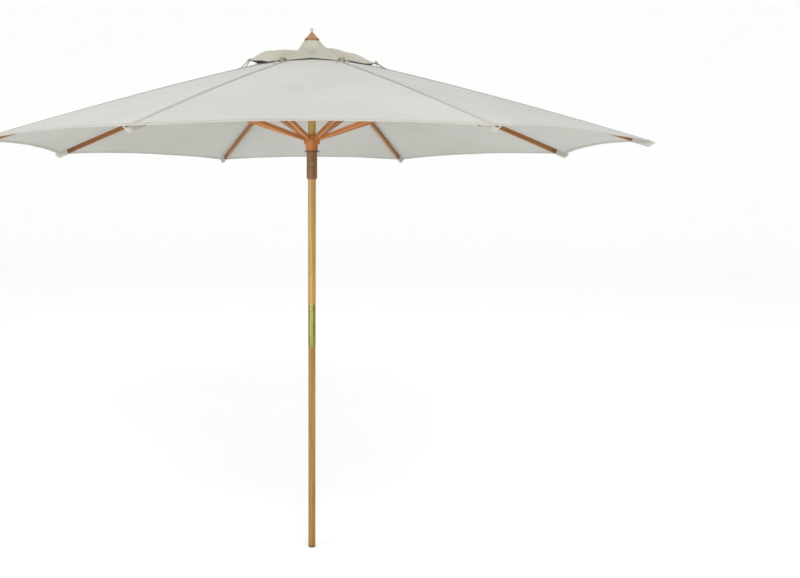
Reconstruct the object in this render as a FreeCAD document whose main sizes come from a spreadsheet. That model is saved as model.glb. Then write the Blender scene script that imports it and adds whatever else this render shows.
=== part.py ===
import FreeCAD, Part

import math
import os

import Sketcher

# Market umbrella with a wooden frame, eight ribs and a two-part pole, drawn open.
# The pole stands on the origin and points along +Z. Rib k lies at azimuth 22.5 + 45 (k - 1) degrees.
# Lengths are in millimetres and angles in degrees.

RIBS = 8
RIB_STEP = 360.0 / RIBS
FIRST_RIB = RIB_STEP / 2
HALF_PANEL = math.radians(RIB_STEP / 2)
FLUTES = 12
GORE_ROWS = 6
GORE_COLUMNS = 3

# The vent cap's spokes from one point round to the next, 0 at a point and 1 at a notch, and the
# power that hollows its edge between them.
VENT_SPOKES = (0, 0.5, 1, 0.5)
VENT_HOLLOW = 1.6

ORIGIN = FreeCAD.Vector(0, 0, 0)
X_AXIS = FreeCAD.Vector(1, 0, 0)
Y_AXIS = FreeCAD.Vector(0, 1, 0)
Z_AXIS = FreeCAD.Vector(0, 0, 1)

# ---- driving sizes -------------------------------------------------------------------------------

SIZES = {
    # pole, foot and the brass ferrule that joins the two halves
    "lower_pole_dia": 35,
    "lower_pole_len": 1088,
    "foot_dia": 34,
    "foot_height": 8,
    "foot_round": 3,
    "spigot_dia": 16,
    "spigot_len": 22,
    "spigot_fit": 0.15,
    "ferrule_len": 202,
    "ferrule_grip": 93,
    "ferrule_wall": 1,
    "pole_step": 0.5,
    "pole_fit": 0.1,
    "tenon_gap": 3,
    "upper_pole_dia": 38,
    "upper_pole_len": 1247,
    "pole_edge": 1.5,
    "nail_dia": 2,
    "nail_len": 14,
    "nail_head_dia": 4.4,
    "nail_head_height": 0.5,
    "nail_inset": 14,
    "nail_pitch": 44,
    # under heads and between stacked rings, and how far a cut runs past its face
    "seat_gap": 0.05,
    "cut_past": 1,
    # linkage
    "canopy_radius": 1500,
    "canopy_slope": 16.8,
    "crown_drop": 70,
    "rib_width": 14,
    "rib_depth": 22,
    "rib_bow": 14,
    "rib_inset": 10,
    "strut_len": 620,
    "strut_depth": 18,
    "tongue_depth": 16,
    "tongue_len": 30,
    "tongue_taper": 40,
    "strut_taper": 20,
    "side_gap": 0.4,
    "end_gap": 0.8,
    # hubs and their wire rings
    "hub_wall": 6.2,
    "hub_rim": 4,
    "hub_edge": 2,
    "crown_above": 18,
    "crown_below": 20,
    "runner_above": 18,
    "runner_below": 24,
    "wire_dia": 2.6,
    "wire_gap": 0.4,
    "crown_screw_drop": 13,
    "hub_screw_dia": 3.5,
    "hub_screw_len": 27,
    "hub_screw_head": 7,
    # runner
    "runner_gap": 0.8,
    "neck_wall": 9.2,
    "neck_len": 34,
    "washer_dia": 78,
    "washer_height": 2.5,
    "sleeve_wall": 5.7,
    "sleeve_len": 130,
    "sleeve_chamfer": 9,
    "sleeve_lip": 2.2,
    "lock_drop": 51.5,
    "lock_dia": 6,
    "lock_fit": 0.1,
    "lock_tip_gap": 0.2,
    "lock_stand": 0.6,
    "lock_collar_dia": 12,
    "lock_collar": 2,
    "lock_knob_dia": 17,
    "lock_knob": 9,
    "lock_flute": 2.2,
    "flute_out": 0.44,
    # strut bracket with its pin and screws
    "bracket_drop": 28,
    "bracket_len": 60,
    "bracket_plate": 1.5,
    "bracket_seat": 0.3,
    "bracket_ear": 7,
    "bracket_ear_spread": 14,
    "pin_dia": 4,
    "pin_fit": 0.06,
    "pin_head_dia": 7,
    "pin_head": 1.2,
    "pin_play": 0.1,
    "bracket_screw_dia": 3,
    "bracket_screw_len": 13,
    "bracket_screw_pitch": 44,
    "screw_head": 1.6,
    "screw_fit": 0.1,
    # crown furniture
    "cloth_clamp": 2.6,
    "cap_washer_dia": 56,
    "cap_washer": 2,
    "finial_dia": 70,
    "finial_height": 37,
    "finial_rim": 7,
    "finial_waist": 1.6,
    "finial_neck_dia": 15,
    "dowel_dia": 12,
    "dowel_len": 34,
    "dowel_fit": 0.15,
    "eye_stalk_dia": 4.5,
    "eye_stalk_len": 18,
    "eye_rise": 9,
    "eye_dia": 14.4,
    "eye_wire": 3.4,
    # cloth
    "cloth": 2,
    "cloth_gap": 2.2,
    "seam_gap": 0.2,
    "vent_opening": 95,
    "hem_dip": 29,
    "panel_sag": 12,
    "pocket_len": 52,
    "pocket_wall": 1.2,
    "pocket_gap": 0.6,
    "vent_point": 325,
    "vent_notch": 240,
    "vent_shoulder": 72,
    "vent_collar": 46,
    "vent_lift": 38,
    "vent_rest": 4,
    "vent_throat_drop": 26,
    "vent_shoulder_drop": 46,
    "vent_valley_drop": 10,
    "vent_sink": 0.2,
    "vent_hole_gap": 0.6,
}

# ---- sizes worked out from them ------------------------------------------------------------------

WORKED = {
    "tenon_dia": "Sizes.lower_pole_dia - 2 * Sizes.pole_step",
    "ferrule_bore": "tenon_dia + 2 * Sizes.pole_fit",
    "ferrule_dia": "ferrule_bore + 2 * Sizes.ferrule_wall",
    "ferrule_z": "Sizes.foot_height + Sizes.lower_pole_len - Sizes.ferrule_grip",
    "shoulder_z": "ferrule_z + Sizes.ferrule_len",
    "tenon_len": "Sizes.ferrule_len - Sizes.ferrule_grip - Sizes.tenon_gap",
    "pole_top_z": "shoulder_z + Sizes.upper_pole_len",
    "crown_z": "pole_top_z - Sizes.crown_drop",
    "nail_hole_dia": "Sizes.nail_dia + Sizes.pole_fit",
    "ring_radius": "Sizes.upper_pole_dia / 2 + Sizes.hub_wall + Sizes.end_gap + Sizes.tongue_depth / 2",
    "hub_radius": "ring_radius + Sizes.hub_rim",
    "notch_root": "ring_radius - Sizes.tongue_depth / 2 - Sizes.end_gap",
    "notch_width": "Sizes.rib_width + 2 * Sizes.side_gap",
    "notch_reach": "Sizes.tongue_depth / 2 + Sizes.end_gap",
    "groove_root": "ring_radius - Sizes.wire_dia / 2 - Sizes.wire_gap",
    "groove_half": "Sizes.wire_dia / 2 + Sizes.wire_gap",
    "wire_rise": "ring_radius - sqrt(ring_radius ^ 2 - (Sizes.rib_width / 2) ^ 2)",
    "wire_hole_dia": "Sizes.wire_dia + 2 * wire_rise + 2 * Sizes.wire_gap",
    "rib_chord": "(Sizes.canopy_radius - Sizes.rib_inset - ring_radius) / cos(Sizes.canopy_slope)",
    "rib_arc": "(rib_chord ^ 2 / 4 + Sizes.rib_bow ^ 2) / (2 * Sizes.rib_bow)",
    "bracket_share": "Sizes.strut_len / rib_chord",
    "bracket_bow": "4 * Sizes.rib_bow * bracket_share * (1 - bracket_share)",
    "pin_below": "Sizes.bracket_drop - bracket_bow",
    "pin_along": "sqrt(Sizes.strut_len ^ 2 - pin_below ^ 2)",
    "pin_hole_dia": "Sizes.pin_dia + 2 * Sizes.pin_fit",
    "bracket_width": "notch_width + 2 * Sizes.bracket_plate",
    "bracket_top": "Sizes.bracket_drop - Sizes.rib_depth / 2 - Sizes.bracket_seat",
    "runner_bore": "max(Sizes.upper_pole_dia; ferrule_dia) + 2 * Sizes.runner_gap",
    "neck_dia": "runner_bore + 2 * Sizes.neck_wall",
    "sleeve_dia": "runner_bore + 2 * Sizes.sleeve_wall",
    "dowel_hole_dia": "Sizes.dowel_dia + 2 * Sizes.dowel_fit",
    "stalk_hole_dia": "Sizes.eye_stalk_dia + 2 * Sizes.pin_fit",
    "finial_side": "(Sizes.finial_dia - Sizes.finial_neck_dia) / 2",
    "finial_rise": "Sizes.finial_height - Sizes.finial_rim",
    "finial_chord": "sqrt(finial_side ^ 2 + finial_rise ^ 2)",
    "finial_sweep": "finial_chord ^ 2 / (8 * Sizes.finial_waist) + Sizes.finial_waist / 2",
    "lock_shoulder": "sleeve_dia / 2 + Sizes.lock_stand",
}

doc = FreeCAD.newDocument("market_umbrella")


def fill_sheet(name, cells):
    """A spreadsheet with one row for each name: its value, or the formula that works it out."""
    sheet = doc.addObject("Spreadsheet::Sheet", name)
    for row, (alias, value) in enumerate(cells.items(), start=1):
        sheet.set(f"A{row}", alias)
        sheet.setAlias(f"B{row}", alias)
        sheet.set(f"B{row}", str(value))
    return sheet


sizes = fill_sheet("Sizes", SIZES)
worked = fill_sheet("Worked", {alias: "=" + formula for alias, formula in WORKED.items()})
doc.recompute()


def size(alias):
    """A driving or worked-out size as a number."""
    return float(getattr(sizes if alias in SIZES else worked, alias))


# ---- helpers for sketches and features -----------------------------------------------------------


def new_body(name):
    """A PartDesign body whose Label names its node."""
    body = doc.addObject("PartDesign::Body", name)
    body.Label = name
    return body


def new_sketch(body, plane, offset=None):
    """A sketch on one of the body's own origin planes."""
    sketch = body.newObject("Sketcher::SketchObject", f"{body.Name}_sketch")
    planes = {feature.Role: feature for feature in body.Origin.OriginFeatures}
    sketch.AttachmentSupport = [(planes[plane], "")]
    sketch.MapMode = "FlatFace"
    if offset is not None:
        sketch.AttachmentOffset = offset
    return sketch


def bind(sketch, kind, geometry, point, expression):
    """Fix one coordinate of a point by an expression, or hold it on an axis where it is zero."""
    value = float(sketch.evalExpression(expression))
    if abs(value) < 1e-9:
        axis = -2 if kind == "DistanceX" else -1
        sketch.addConstraint(Sketcher.Constraint("PointOnObject", geometry, point, axis))
        return
    number = sketch.addConstraint(Sketcher.Constraint(kind, geometry, point, value))
    sketch.setExpression(f"Constraints[{number}]", expression)


def draw_circle(sketch, diameter, x="0", y="0"):
    """A circle whose diameter and centre are expressions."""
    centre = FreeCAD.Vector(sketch.evalExpression(x), sketch.evalExpression(y), 0)
    radius = sketch.evalExpression(diameter) / 2
    circle = sketch.addGeometry(Part.Circle(centre, Z_AXIS, radius))
    bind(sketch, "DistanceX", circle, 3, x)
    bind(sketch, "DistanceY", circle, 3, y)
    number = sketch.addConstraint(Sketcher.Constraint("Diameter", circle, 2 * radius))
    sketch.setExpression(f"Constraints[{number}]", diameter)


def draw_outline(sketch, corners, arcs=None):
    """A closed outline through corners given as pairs of expressions.

    arcs maps the number of a corner to the arc that leaves it: the x and y of a point on it, then
    "Radius" with its radius, or "DistanceX" or "DistanceY" with its centre's x or y, all expressions.
    """
    arcs = arcs or {}
    points = [FreeCAD.Vector(sketch.evalExpression(x), sketch.evalExpression(y), 0) for x, y in corners]
    ends = []
    for number, start in enumerate(points):
        stop = points[(number + 1) % len(points)]
        if number in arcs:
            x, y = arcs[number][:2]
            middle = FreeCAD.Vector(sketch.evalExpression(x), sketch.evalExpression(y), 0)
            edge = sketch.addGeometry(Part.Arc(start, middle, stop))
        else:
            edge = sketch.addGeometry(Part.LineSegment(start, stop))
        first = 1 if sketch.getPoint(edge, 1).distanceToPoint(start) < 1e-4 else 2
        ends.append((edge, first, 3 - first))
    for number, (edge, first, last) in enumerate(ends):
        following, start, _ = ends[(number + 1) % len(ends)]
        sketch.addConstraint(Sketcher.Constraint("Coincident", edge, last, following, start))
        x, y = corners[number]
        bind(sketch, "DistanceX", edge, first, x)
        bind(sketch, "DistanceY", edge, first, y)
        if number in arcs:
            kind, expression = arcs[number][2:]
            if kind == "Radius":
                value = float(sketch.evalExpression(expression))
                constraint = sketch.addConstraint(Sketcher.Constraint("Radius", edge, value))
                sketch.setExpression(f"Constraints[{constraint}]", expression)
            else:
                bind(sketch, kind, edge, 3, expression)


def draw_box(sketch, left, right, bottom, top):
    """An upright rectangle between four expressions."""
    draw_outline(sketch, [(left, bottom), (right, bottom), (right, top), (left, top)])


def pad(sketch, length, symmetric=False, reverse=False):
    """Extrude a sketch by an expression."""
    feature = sketch.getParentGeoFeatureGroup().newObject("PartDesign::Pad", f"{sketch.Name}_pad")
    feature.Profile = sketch
    feature.SideType = "Symmetric" if symmetric else "One side"
    feature.Reversed = reverse
    feature.setExpression("Length", length)
    return feature


def volume_of(body):
    """The volume of a body as it stands."""
    doc.recompute()
    return body.Shape.Volume


def pocket(sketch, length, symmetric=False, reverse=False):
    """Cut a sketch out of its body by an expression, and make sure that it took material away."""
    body = sketch.getParentGeoFeatureGroup()
    before = volume_of(body)
    feature = body.newObject("PartDesign::Pocket", f"{sketch.Name}_pocket")
    feature.Profile = sketch
    feature.SideType = "Symmetric" if symmetric else "One side"
    feature.Reversed = reverse
    feature.setExpression("Length", length)
    if volume_of(body) >= before:
        raise RuntimeError(f"{feature.Name} cuts nothing")
    return feature


def turn(sketch, kind="Revolution"):
    """Revolve a sketch about its own vertical axis, to add material or to groove it away."""
    body = sketch.getParentGeoFeatureGroup()
    before = volume_of(body) if kind == "Groove" else 0
    feature = body.newObject(f"PartDesign::{kind}", f"{sketch.Name}_{kind.lower()}")
    feature.Profile = sketch
    feature.ReferenceAxis = (sketch, ["V_Axis"])
    feature.Angle = 360
    if kind == "Groove" and volume_of(body) >= before:
        raise RuntimeError(f"{feature.Name} cuts nothing")
    return feature


def repeat_round(feature, count):
    """Repeat a feature round the body's Z axis."""
    body = feature.getParentGeoFeatureGroup()
    pattern = body.newObject("PartDesign::PolarPattern", f"{feature.Name}_round")
    pattern.Originals = [feature]
    axes = {part.Role: part for part in body.Origin.OriginFeatures}
    pattern.Axis = (axes["Z_Axis"], [""])
    pattern.Angle = 360
    pattern.Occurrences = count
    body.Tip = pattern
    return pattern


def soften(body, kind, amount, chosen):
    """Chamfer or fillet the edges that the test picks, by an expression."""
    doc.recompute()
    base = body.Tip
    names = [f"Edge{number}" for number, edge in enumerate(base.Shape.Edges, start=1) if chosen(edge)]
    if not names:
        raise RuntimeError(f"{body.Name} has no edge to soften")
    feature = body.newObject(f"PartDesign::{kind}", f"{body.Name}_{kind.lower()}")
    feature.Base = (base, names)
    feature.setExpression("Radius" if kind == "Fillet" else "Size", amount)
    body.Tip = feature
    return feature


def round_at(height, radius):
    """A test for full round edges of a radius at a height."""

    def chosen(edge):
        curve = edge.Curve
        return (
            isinstance(curve, Part.Circle)
            and abs(curve.Radius - radius) < 1e-3
            and abs(curve.Center.z - height) < 1e-3
        )

    return chosen


def cylinder(name, diameter, length, base=ORIGIN, axis=Z_AXIS):
    """A Part cylinder whose sizes are expressions, from a base point along an axis."""
    solid = doc.addObject("Part::Cylinder", name)
    solid.setExpression("Radius", f"({diameter}) / 2")
    solid.setExpression("Height", length)
    solid.Placement = FreeCAD.Placement(base, FreeCAD.Rotation(Z_AXIS, axis))
    return solid


def ring(name, radius, wire, placement):
    """A Part torus of round wire."""
    solid = doc.addObject("Part::Torus", name)
    solid.setExpression("Radius1", radius)
    solid.setExpression("Radius2", f"({wire}) / 2")
    solid.Placement = placement
    return solid


def fuse(name, solids, placement=None):
    """One solid made of several."""
    whole = doc.addObject("Part::MultiFuse", name)
    whole.Shapes = solids
    if placement is not None:
        whole.Placement = placement
    return whole


def group(name, solids, placement=None):
    """Separate solids kept in one node."""
    whole = doc.addObject("Part::Compound", name)
    whole.Label = name
    whole.Links = solids
    if placement is not None:
        whole.Placement = placement
    return whole


def at_height(height):
    """A place on the pole's axis."""
    return FreeCAD.Placement(FreeCAD.Vector(0, 0, height), FreeCAD.Rotation())


def in_rib_plane(number, radius, height, tilt):
    """A place in a rib's own upright plane, with its X axis tilted down by an angle."""
    azimuth = FIRST_RIB + RIB_STEP * (number - 1)
    swing = FreeCAD.Placement(ORIGIN, FreeCAD.Rotation(Z_AXIS, azimuth))
    seat = FreeCAD.Placement(FreeCAD.Vector(radius, 0, height), FreeCAD.Rotation(Y_AXIS, tilt))
    return swing.multiply(seat)


NODES = []


def keep(part, placement=None):
    """Enter a finished sub-part in the list of nodes to write."""
    if placement is not None:
        part.Placement = placement
    NODES.append(part)
    return part


# ---- linkage angles ------------------------------------------------------------------------------

# A rib and its strut meet in a pin one strut length from the crown pivot, so the runner pivot lies
# straight below the crown pivot at every opening. The fold ends when the strut stands upright.
PIN_ANGLE = math.degrees(math.asin(size("pin_below") / size("strut_len")))
LINK_ANGLE = size("canopy_slope") + PIN_ANGLE
CROWN_Z = size("crown_z")
RUNNER_Z = CROWN_Z - 2 * size("strut_len") * math.sin(math.radians(LINK_ANGLE))


# ---- pole ----------------------------------------------------------------------------------------


def make_foot_cap():
    """Dark moulded cap under the pole, with a spigot that goes up its middle."""
    body = new_body("foot_cap")
    disc = new_sketch(body, "XY_Plane")
    draw_circle(disc, "Sizes.foot_dia")
    pad(disc, "Sizes.foot_height")
    spigot = new_sketch(body, "XY_Plane")
    draw_circle(spigot, "Sizes.spigot_dia")
    pad(spigot, "Sizes.foot_height + Sizes.spigot_len")
    soften(body, "Fillet", "Sizes.foot_round", round_at(0, size("foot_dia") / 2))
    keep(body)


def make_lower_pole():
    """Round pole, turned down inside the ferrule and bored below for the foot's spigot."""
    body = new_body("lower_pole")
    tenon = new_sketch(body, "XY_Plane")
    draw_circle(tenon, "Worked.tenon_dia")
    pad(tenon, "Sizes.lower_pole_len")
    section = new_sketch(body, "XY_Plane")
    draw_circle(section, "Sizes.lower_pole_dia")
    pad(section, "Sizes.lower_pole_len - Sizes.ferrule_grip")
    bore = new_sketch(body, "XY_Plane")
    draw_circle(bore, "Sizes.spigot_dia + 2 * Sizes.spigot_fit")
    pocket(bore, "Sizes.spigot_len + Sizes.end_gap", reverse=True)
    nails = new_sketch(body, "YZ_Plane")
    lowest = "Sizes.lower_pole_len - Sizes.ferrule_grip + Sizes.nail_inset"
    for height in (lowest, lowest + " + Sizes.nail_pitch"):
        draw_circle(nails, "Worked.nail_hole_dia", "0", height)
    pocket(nails, "Sizes.lower_pole_dia + 2 * Sizes.cut_past", symmetric=True)
    soften(body, "Chamfer", "Sizes.pole_edge", round_at(size("lower_pole_len"), size("tenon_dia") / 2))
    keep(body, at_height(size("foot_height")))


def make_ferrule():
    """Brass tube that holds the top of the lower pole and takes the tenon of the upper one."""
    body = new_body("pole_ferrule")
    section = new_sketch(body, "XY_Plane")
    draw_circle(section, "Worked.ferrule_dia")
    draw_circle(section, "Worked.ferrule_bore")
    pad(section, "Sizes.ferrule_len")
    nails = new_sketch(body, "YZ_Plane")
    draw_circle(nails, "Worked.nail_hole_dia", "0", "Sizes.nail_inset")
    draw_circle(nails, "Worked.nail_hole_dia", "0", "Sizes.nail_inset + Sizes.nail_pitch")
    pocket(nails, "Worked.ferrule_dia + 2 * Sizes.cut_past", symmetric=True)
    keep(body, at_height(size("ferrule_z")))


def make_ferrule_nails():
    """Four round-headed brass nails, two on each side of the ferrule."""
    nails = []
    face = size("ferrule_dia") / 2
    cap = "Sizes.nail_head_height"
    for side in (1, -1):
        for row in range(2):
            name = f"ferrule_nail_{len(nails) + 1}"
            height = size("ferrule_z") + size("nail_inset") + row * size("nail_pitch")
            tip = FreeCAD.Vector(side * (face - size("nail_len")), 0, height)
            seat = FreeCAD.Vector(side * face, 0, height)
            shank = cylinder(name + "_shank", "Sizes.nail_dia", "Sizes.nail_len", tip, X_AXIS * side)
            head = cylinder(name + "_head", "Sizes.nail_head_dia", cap, seat, X_AXIS * side)
            nails.append(fuse(name, [shank, head]))
    keep(group("ferrule_nails", nails))


def make_upper_pole():
    """Upper pole: a tenon below, a shoulder on the ferrule, and a dowel hole in the top."""
    body = new_body("upper_pole")
    section = new_sketch(body, "XY_Plane")
    draw_circle(section, "Sizes.upper_pole_dia")
    pad(section, "Sizes.upper_pole_len")
    tenon = new_sketch(body, "XY_Plane")
    draw_circle(tenon, "Worked.tenon_dia")
    pad(tenon, "Worked.tenon_len", reverse=True)
    dowel = new_sketch(body, "XZ_Plane")
    depth = "Sizes.upper_pole_len - Sizes.dowel_len - Sizes.end_gap"
    draw_box(dowel, "0", "Worked.dowel_hole_dia / 2", depth, "Sizes.upper_pole_len + Sizes.cut_past")
    turn(dowel, "Groove")
    screws = new_sketch(body, "YZ_Plane")
    screw_z = "Sizes.upper_pole_len - Sizes.crown_drop - Sizes.crown_screw_drop"
    draw_circle(screws, "Sizes.hub_screw_dia + 2 * Sizes.screw_fit", "0", screw_z)
    pocket(screws, "Sizes.upper_pole_dia + 2 * Sizes.cut_past", symmetric=True)
    soften(body, "Chamfer", "Sizes.pole_edge", round_at(-size("tenon_len"), size("tenon_dia") / 2))
    keep(body, at_height(size("shoulder_z")))


# ---- crown ---------------------------------------------------------------------------------------


def notch_round(body, bottom, top):
    """Eight radial notches for rib or strut tongues, and the groove that holds their wire ring."""
    swing = FreeCAD.Placement(ORIGIN, FreeCAD.Rotation(Y_AXIS, FIRST_RIB))
    notch = new_sketch(body, "XZ_Plane", swing)
    draw_box(notch, "Worked.notch_root", "Worked.hub_radius + Sizes.cut_past", bottom, top)
    repeat_round(pocket(notch, "Worked.notch_width", symmetric=True), RIBS)
    groove = new_sketch(body, "XZ_Plane")
    half = "Worked.groove_half"
    draw_box(groove, "Worked.groove_root", "Worked.hub_radius + Sizes.cut_past", f"-{half}", half)
    turn(groove, "Groove")


def make_hub_disc(body, bore, below, above):
    """A hub's round blank about its pivot height, with softened rims."""
    blank = new_sketch(body, "XZ_Plane")
    draw_box(blank, f"{bore} / 2", "Worked.hub_radius", f"-{below}", above)
    turn(blank)
    radius = size("hub_radius")
    bottom = -float(sizes.evalExpression(below))
    top = float(sizes.evalExpression(above))
    rims = [round_at(bottom, radius), round_at(top, radius)]
    soften(body, "Fillet", "Sizes.hub_edge", lambda edge: any(rim(edge) for rim in rims))


def make_crown_hub():
    """Wooden hub at the pole's top, notched from below for the ribs."""
    body = new_body("crown_hub")
    bore = "(Sizes.upper_pole_dia + 2 * Sizes.pole_fit)"
    make_hub_disc(body, bore, "Sizes.crown_below", "Sizes.crown_above")
    notch_round(body, "-Sizes.crown_below - Sizes.cut_past", "Worked.notch_reach")
    screws = new_sketch(body, "YZ_Plane")
    draw_circle(screws, "Sizes.hub_screw_dia + 2 * Sizes.screw_fit", "0", "-Sizes.crown_screw_drop")
    pocket(screws, "2 * Worked.hub_radius + 2 * Sizes.cut_past", symmetric=True)
    keep(body, at_height(CROWN_Z))


def make_crown_screws():
    """Two screws that fix the crown hub to the pole between its notches."""
    screws = []
    height = CROWN_Z - size("crown_screw_drop")
    face = size("hub_radius") + size("end_gap") / 2
    for side in (1, -1):
        name = f"crown_screw_{len(screws) + 1}"
        tip = FreeCAD.Vector(side * (face - size("hub_screw_len")), 0, height)
        seat = FreeCAD.Vector(side * face, 0, height)
        shank = cylinder(name + "_shank", "Sizes.hub_screw_dia", "Sizes.hub_screw_len", tip, X_AXIS * side)
        head = cylinder(name + "_head", "Sizes.hub_screw_head", "Sizes.screw_head", seat, X_AXIS * side)
        screws.append(fuse(name, [shank, head]))
    keep(group("crown_screws", screws))


def make_wire(name, height):
    """Closed wire ring that threads the tongues of a hub."""
    wire = ring(name, "Worked.ring_radius", "Sizes.wire_dia", at_height(height))
    wire.Label = name
    keep(wire)


def make_cap_washer():
    """Brass washer that clamps the vent cap's cloth on the pole's top."""
    disc = cylinder("cap_washer_disc", "Sizes.cap_washer_dia", "Sizes.cap_washer")
    hole = cylinder("cap_washer_hole", "Worked.dowel_hole_dia", "Sizes.cap_washer")
    washer = doc.addObject("Part::Cut", "cap_washer")
    washer.Label = "cap_washer"
    washer.Base = disc
    washer.Tool = hole
    keep(washer, at_height(size("pole_top_z") + size("cloth_clamp")))


def finial_base():
    """Height of the finial's underside."""
    return size("pole_top_z") + size("cloth_clamp") + size("cap_washer") + 2 * size("seat_gap")


def make_finial():
    """Turned wooden finial: a low cone with hollow sides on a dowel, drilled for the brass eye."""
    body = new_body("finial")
    profile = new_sketch(body, "XZ_Plane")
    corners = [
        ("0", "-Sizes.dowel_len"),
        ("Sizes.dowel_dia / 2", "-Sizes.dowel_len"),
        ("Sizes.dowel_dia / 2", "0"),
        ("Sizes.finial_dia / 2", "0"),
        ("Sizes.finial_dia / 2", "Sizes.finial_rim"),
        ("Sizes.finial_neck_dia / 2", "Sizes.finial_height"),
        ("0", "Sizes.finial_height"),
    ]
    hollow = (
        "(Sizes.finial_dia + Sizes.finial_neck_dia) / 4"
        " - Sizes.finial_waist * Worked.finial_rise / Worked.finial_chord",
        "(Sizes.finial_height + Sizes.finial_rim) / 2"
        " - Sizes.finial_waist * Worked.finial_side / Worked.finial_chord",
        "Radius",
        "Worked.finial_sweep",
    )
    draw_outline(profile, corners, {4: hollow})
    turn(profile)
    hole = new_sketch(body, "XZ_Plane")
    top = "Sizes.finial_height"
    bottom = f"{top} - Sizes.eye_stalk_len - Sizes.cut_past"
    draw_box(hole, "0", "Worked.stalk_hole_dia / 2", bottom, f"{top} + Sizes.cut_past")
    turn(hole, "Groove")
    soften(body, "Fillet", "Sizes.hub_edge / 2", round_at(0, size("finial_dia") / 2))
    keep(body, at_height(finial_base()))


def make_finial_eye():
    """Brass eye on a stalk in the finial's top."""
    top = finial_base() + size("finial_height")
    foot = FreeCAD.Vector(0, 0, top - size("eye_stalk_len"))
    stalk = cylinder("eye_stalk", "Sizes.eye_stalk_dia", "Sizes.eye_stalk_len + Sizes.eye_rise", foot)
    rest = FreeCAD.Vector(0, 0, top + size("seat_gap"))
    collar = cylinder("eye_collar", "2 * Sizes.eye_stalk_dia", "Sizes.eye_wire / 2", rest)
    middle = FreeCAD.Vector(0, 0, top + size("eye_rise") + size("eye_dia") / 2 - size("eye_wire"))
    upright = FreeCAD.Placement(middle, FreeCAD.Rotation(X_AXIS, 90))
    eye = ring("eye_ring", "(Sizes.eye_dia - Sizes.eye_wire) / 2", "Sizes.eye_wire", upright)
    whole = fuse("finial_eye", [stalk, collar, eye])
    whole.Label = "finial_eye"
    keep(whole)


# ---- ribs, struts and brackets -------------------------------------------------------------------


def make_rib(number):
    """A rib: a round-nosed tongue on the crown's wire, then a gently bowed square bar."""
    body = new_body(f"rib_{number}")
    side = new_sketch(body, "XZ_Plane")
    taper = "(Sizes.tongue_len + Sizes.tongue_taper)"
    rise = f"4 * Sizes.rib_bow * {taper} / Worked.rib_chord * (1 - {taper} / Worked.rib_chord)"
    corners = [
        ("0", "Sizes.tongue_depth / 2"),
        ("Sizes.tongue_len", "Sizes.tongue_depth / 2"),
        (taper, f"{rise} + Sizes.rib_depth / 2"),
        ("Worked.rib_chord", "Sizes.rib_depth / 2"),
        ("Worked.rib_chord", "-Sizes.rib_depth / 2"),
        (taper, f"{rise} - Sizes.rib_depth / 2"),
        ("Sizes.tongue_len", "-Sizes.tongue_depth / 2"),
        ("0", "-Sizes.tongue_depth / 2"),
    ]
    half = "Worked.rib_chord / 2"
    arcs = {
        2: (half, "Sizes.rib_bow + Sizes.rib_depth / 2", "Radius", "Worked.rib_arc + Sizes.rib_depth / 2"),
        4: (half, "Sizes.rib_bow - Sizes.rib_depth / 2", "Radius", "Worked.rib_arc - Sizes.rib_depth / 2"),
        7: ("-Sizes.tongue_depth / 2", "0", "DistanceX", "0"),
    }
    draw_outline(side, corners, arcs)
    pad(side, "Sizes.rib_width", symmetric=True)
    pivot = new_sketch(body, "XZ_Plane")
    draw_circle(pivot, "Worked.wire_hole_dia")
    pocket(pivot, "Sizes.rib_width + 2 * Sizes.cut_past", symmetric=True)
    pilots = new_sketch(body, "XY_Plane")
    for sign in ("-", "+"):
        along = f"Worked.pin_along {sign} Sizes.bracket_screw_pitch / 2"
        draw_circle(pilots, "Sizes.bracket_screw_dia + 2 * Sizes.screw_fit", along, "0")
    pocket(pilots, "Worked.bracket_bow - Sizes.rib_depth / 2 + Sizes.bracket_screw_len", reverse=True)
    keep(body, in_rib_plane(number, size("ring_radius"), CROWN_Z, size("canopy_slope")))


def make_strut(number):
    """A strut with a round-nosed tongue at each end, from the runner's wire to the rib's bracket."""
    body = new_body(f"strut_{number}")
    side = new_sketch(body, "XZ_Plane")
    taper = "Sizes.tongue_len + Sizes.strut_taper"
    corners = [
        ("0", "Sizes.tongue_depth / 2"),
        ("Sizes.tongue_len", "Sizes.tongue_depth / 2"),
        (taper, "Sizes.strut_depth / 2"),
        (f"Sizes.strut_len - ({taper})", "Sizes.strut_depth / 2"),
        ("Sizes.strut_len - Sizes.tongue_len", "Sizes.tongue_depth / 2"),
        ("Sizes.strut_len", "Sizes.tongue_depth / 2"),
        ("Sizes.strut_len", "-Sizes.tongue_depth / 2"),
        ("Sizes.strut_len - Sizes.tongue_len", "-Sizes.tongue_depth / 2"),
        (f"Sizes.strut_len - ({taper})", "-Sizes.strut_depth / 2"),
        (taper, "-Sizes.strut_depth / 2"),
        ("Sizes.tongue_len", "-Sizes.tongue_depth / 2"),
        ("0", "-Sizes.tongue_depth / 2"),
    ]
    nose = "Sizes.tongue_depth / 2"
    arcs = {
        5: (f"Sizes.strut_len + {nose}", "0", "DistanceX", "Sizes.strut_len"),
        11: (f"-{nose}", "0", "DistanceX", "0"),
    }
    draw_outline(side, corners, arcs)
    pad(side, "Sizes.rib_width", symmetric=True)
    holes = new_sketch(body, "XZ_Plane")
    draw_circle(holes, "Worked.wire_hole_dia")
    draw_circle(holes, "Worked.pin_hole_dia", "Sizes.strut_len")
    pocket(holes, "Sizes.rib_width + 2 * Sizes.cut_past", symmetric=True)
    keep(body, in_rib_plane(number, size("ring_radius"), RUNNER_Z, -LINK_ANGLE))


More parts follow.
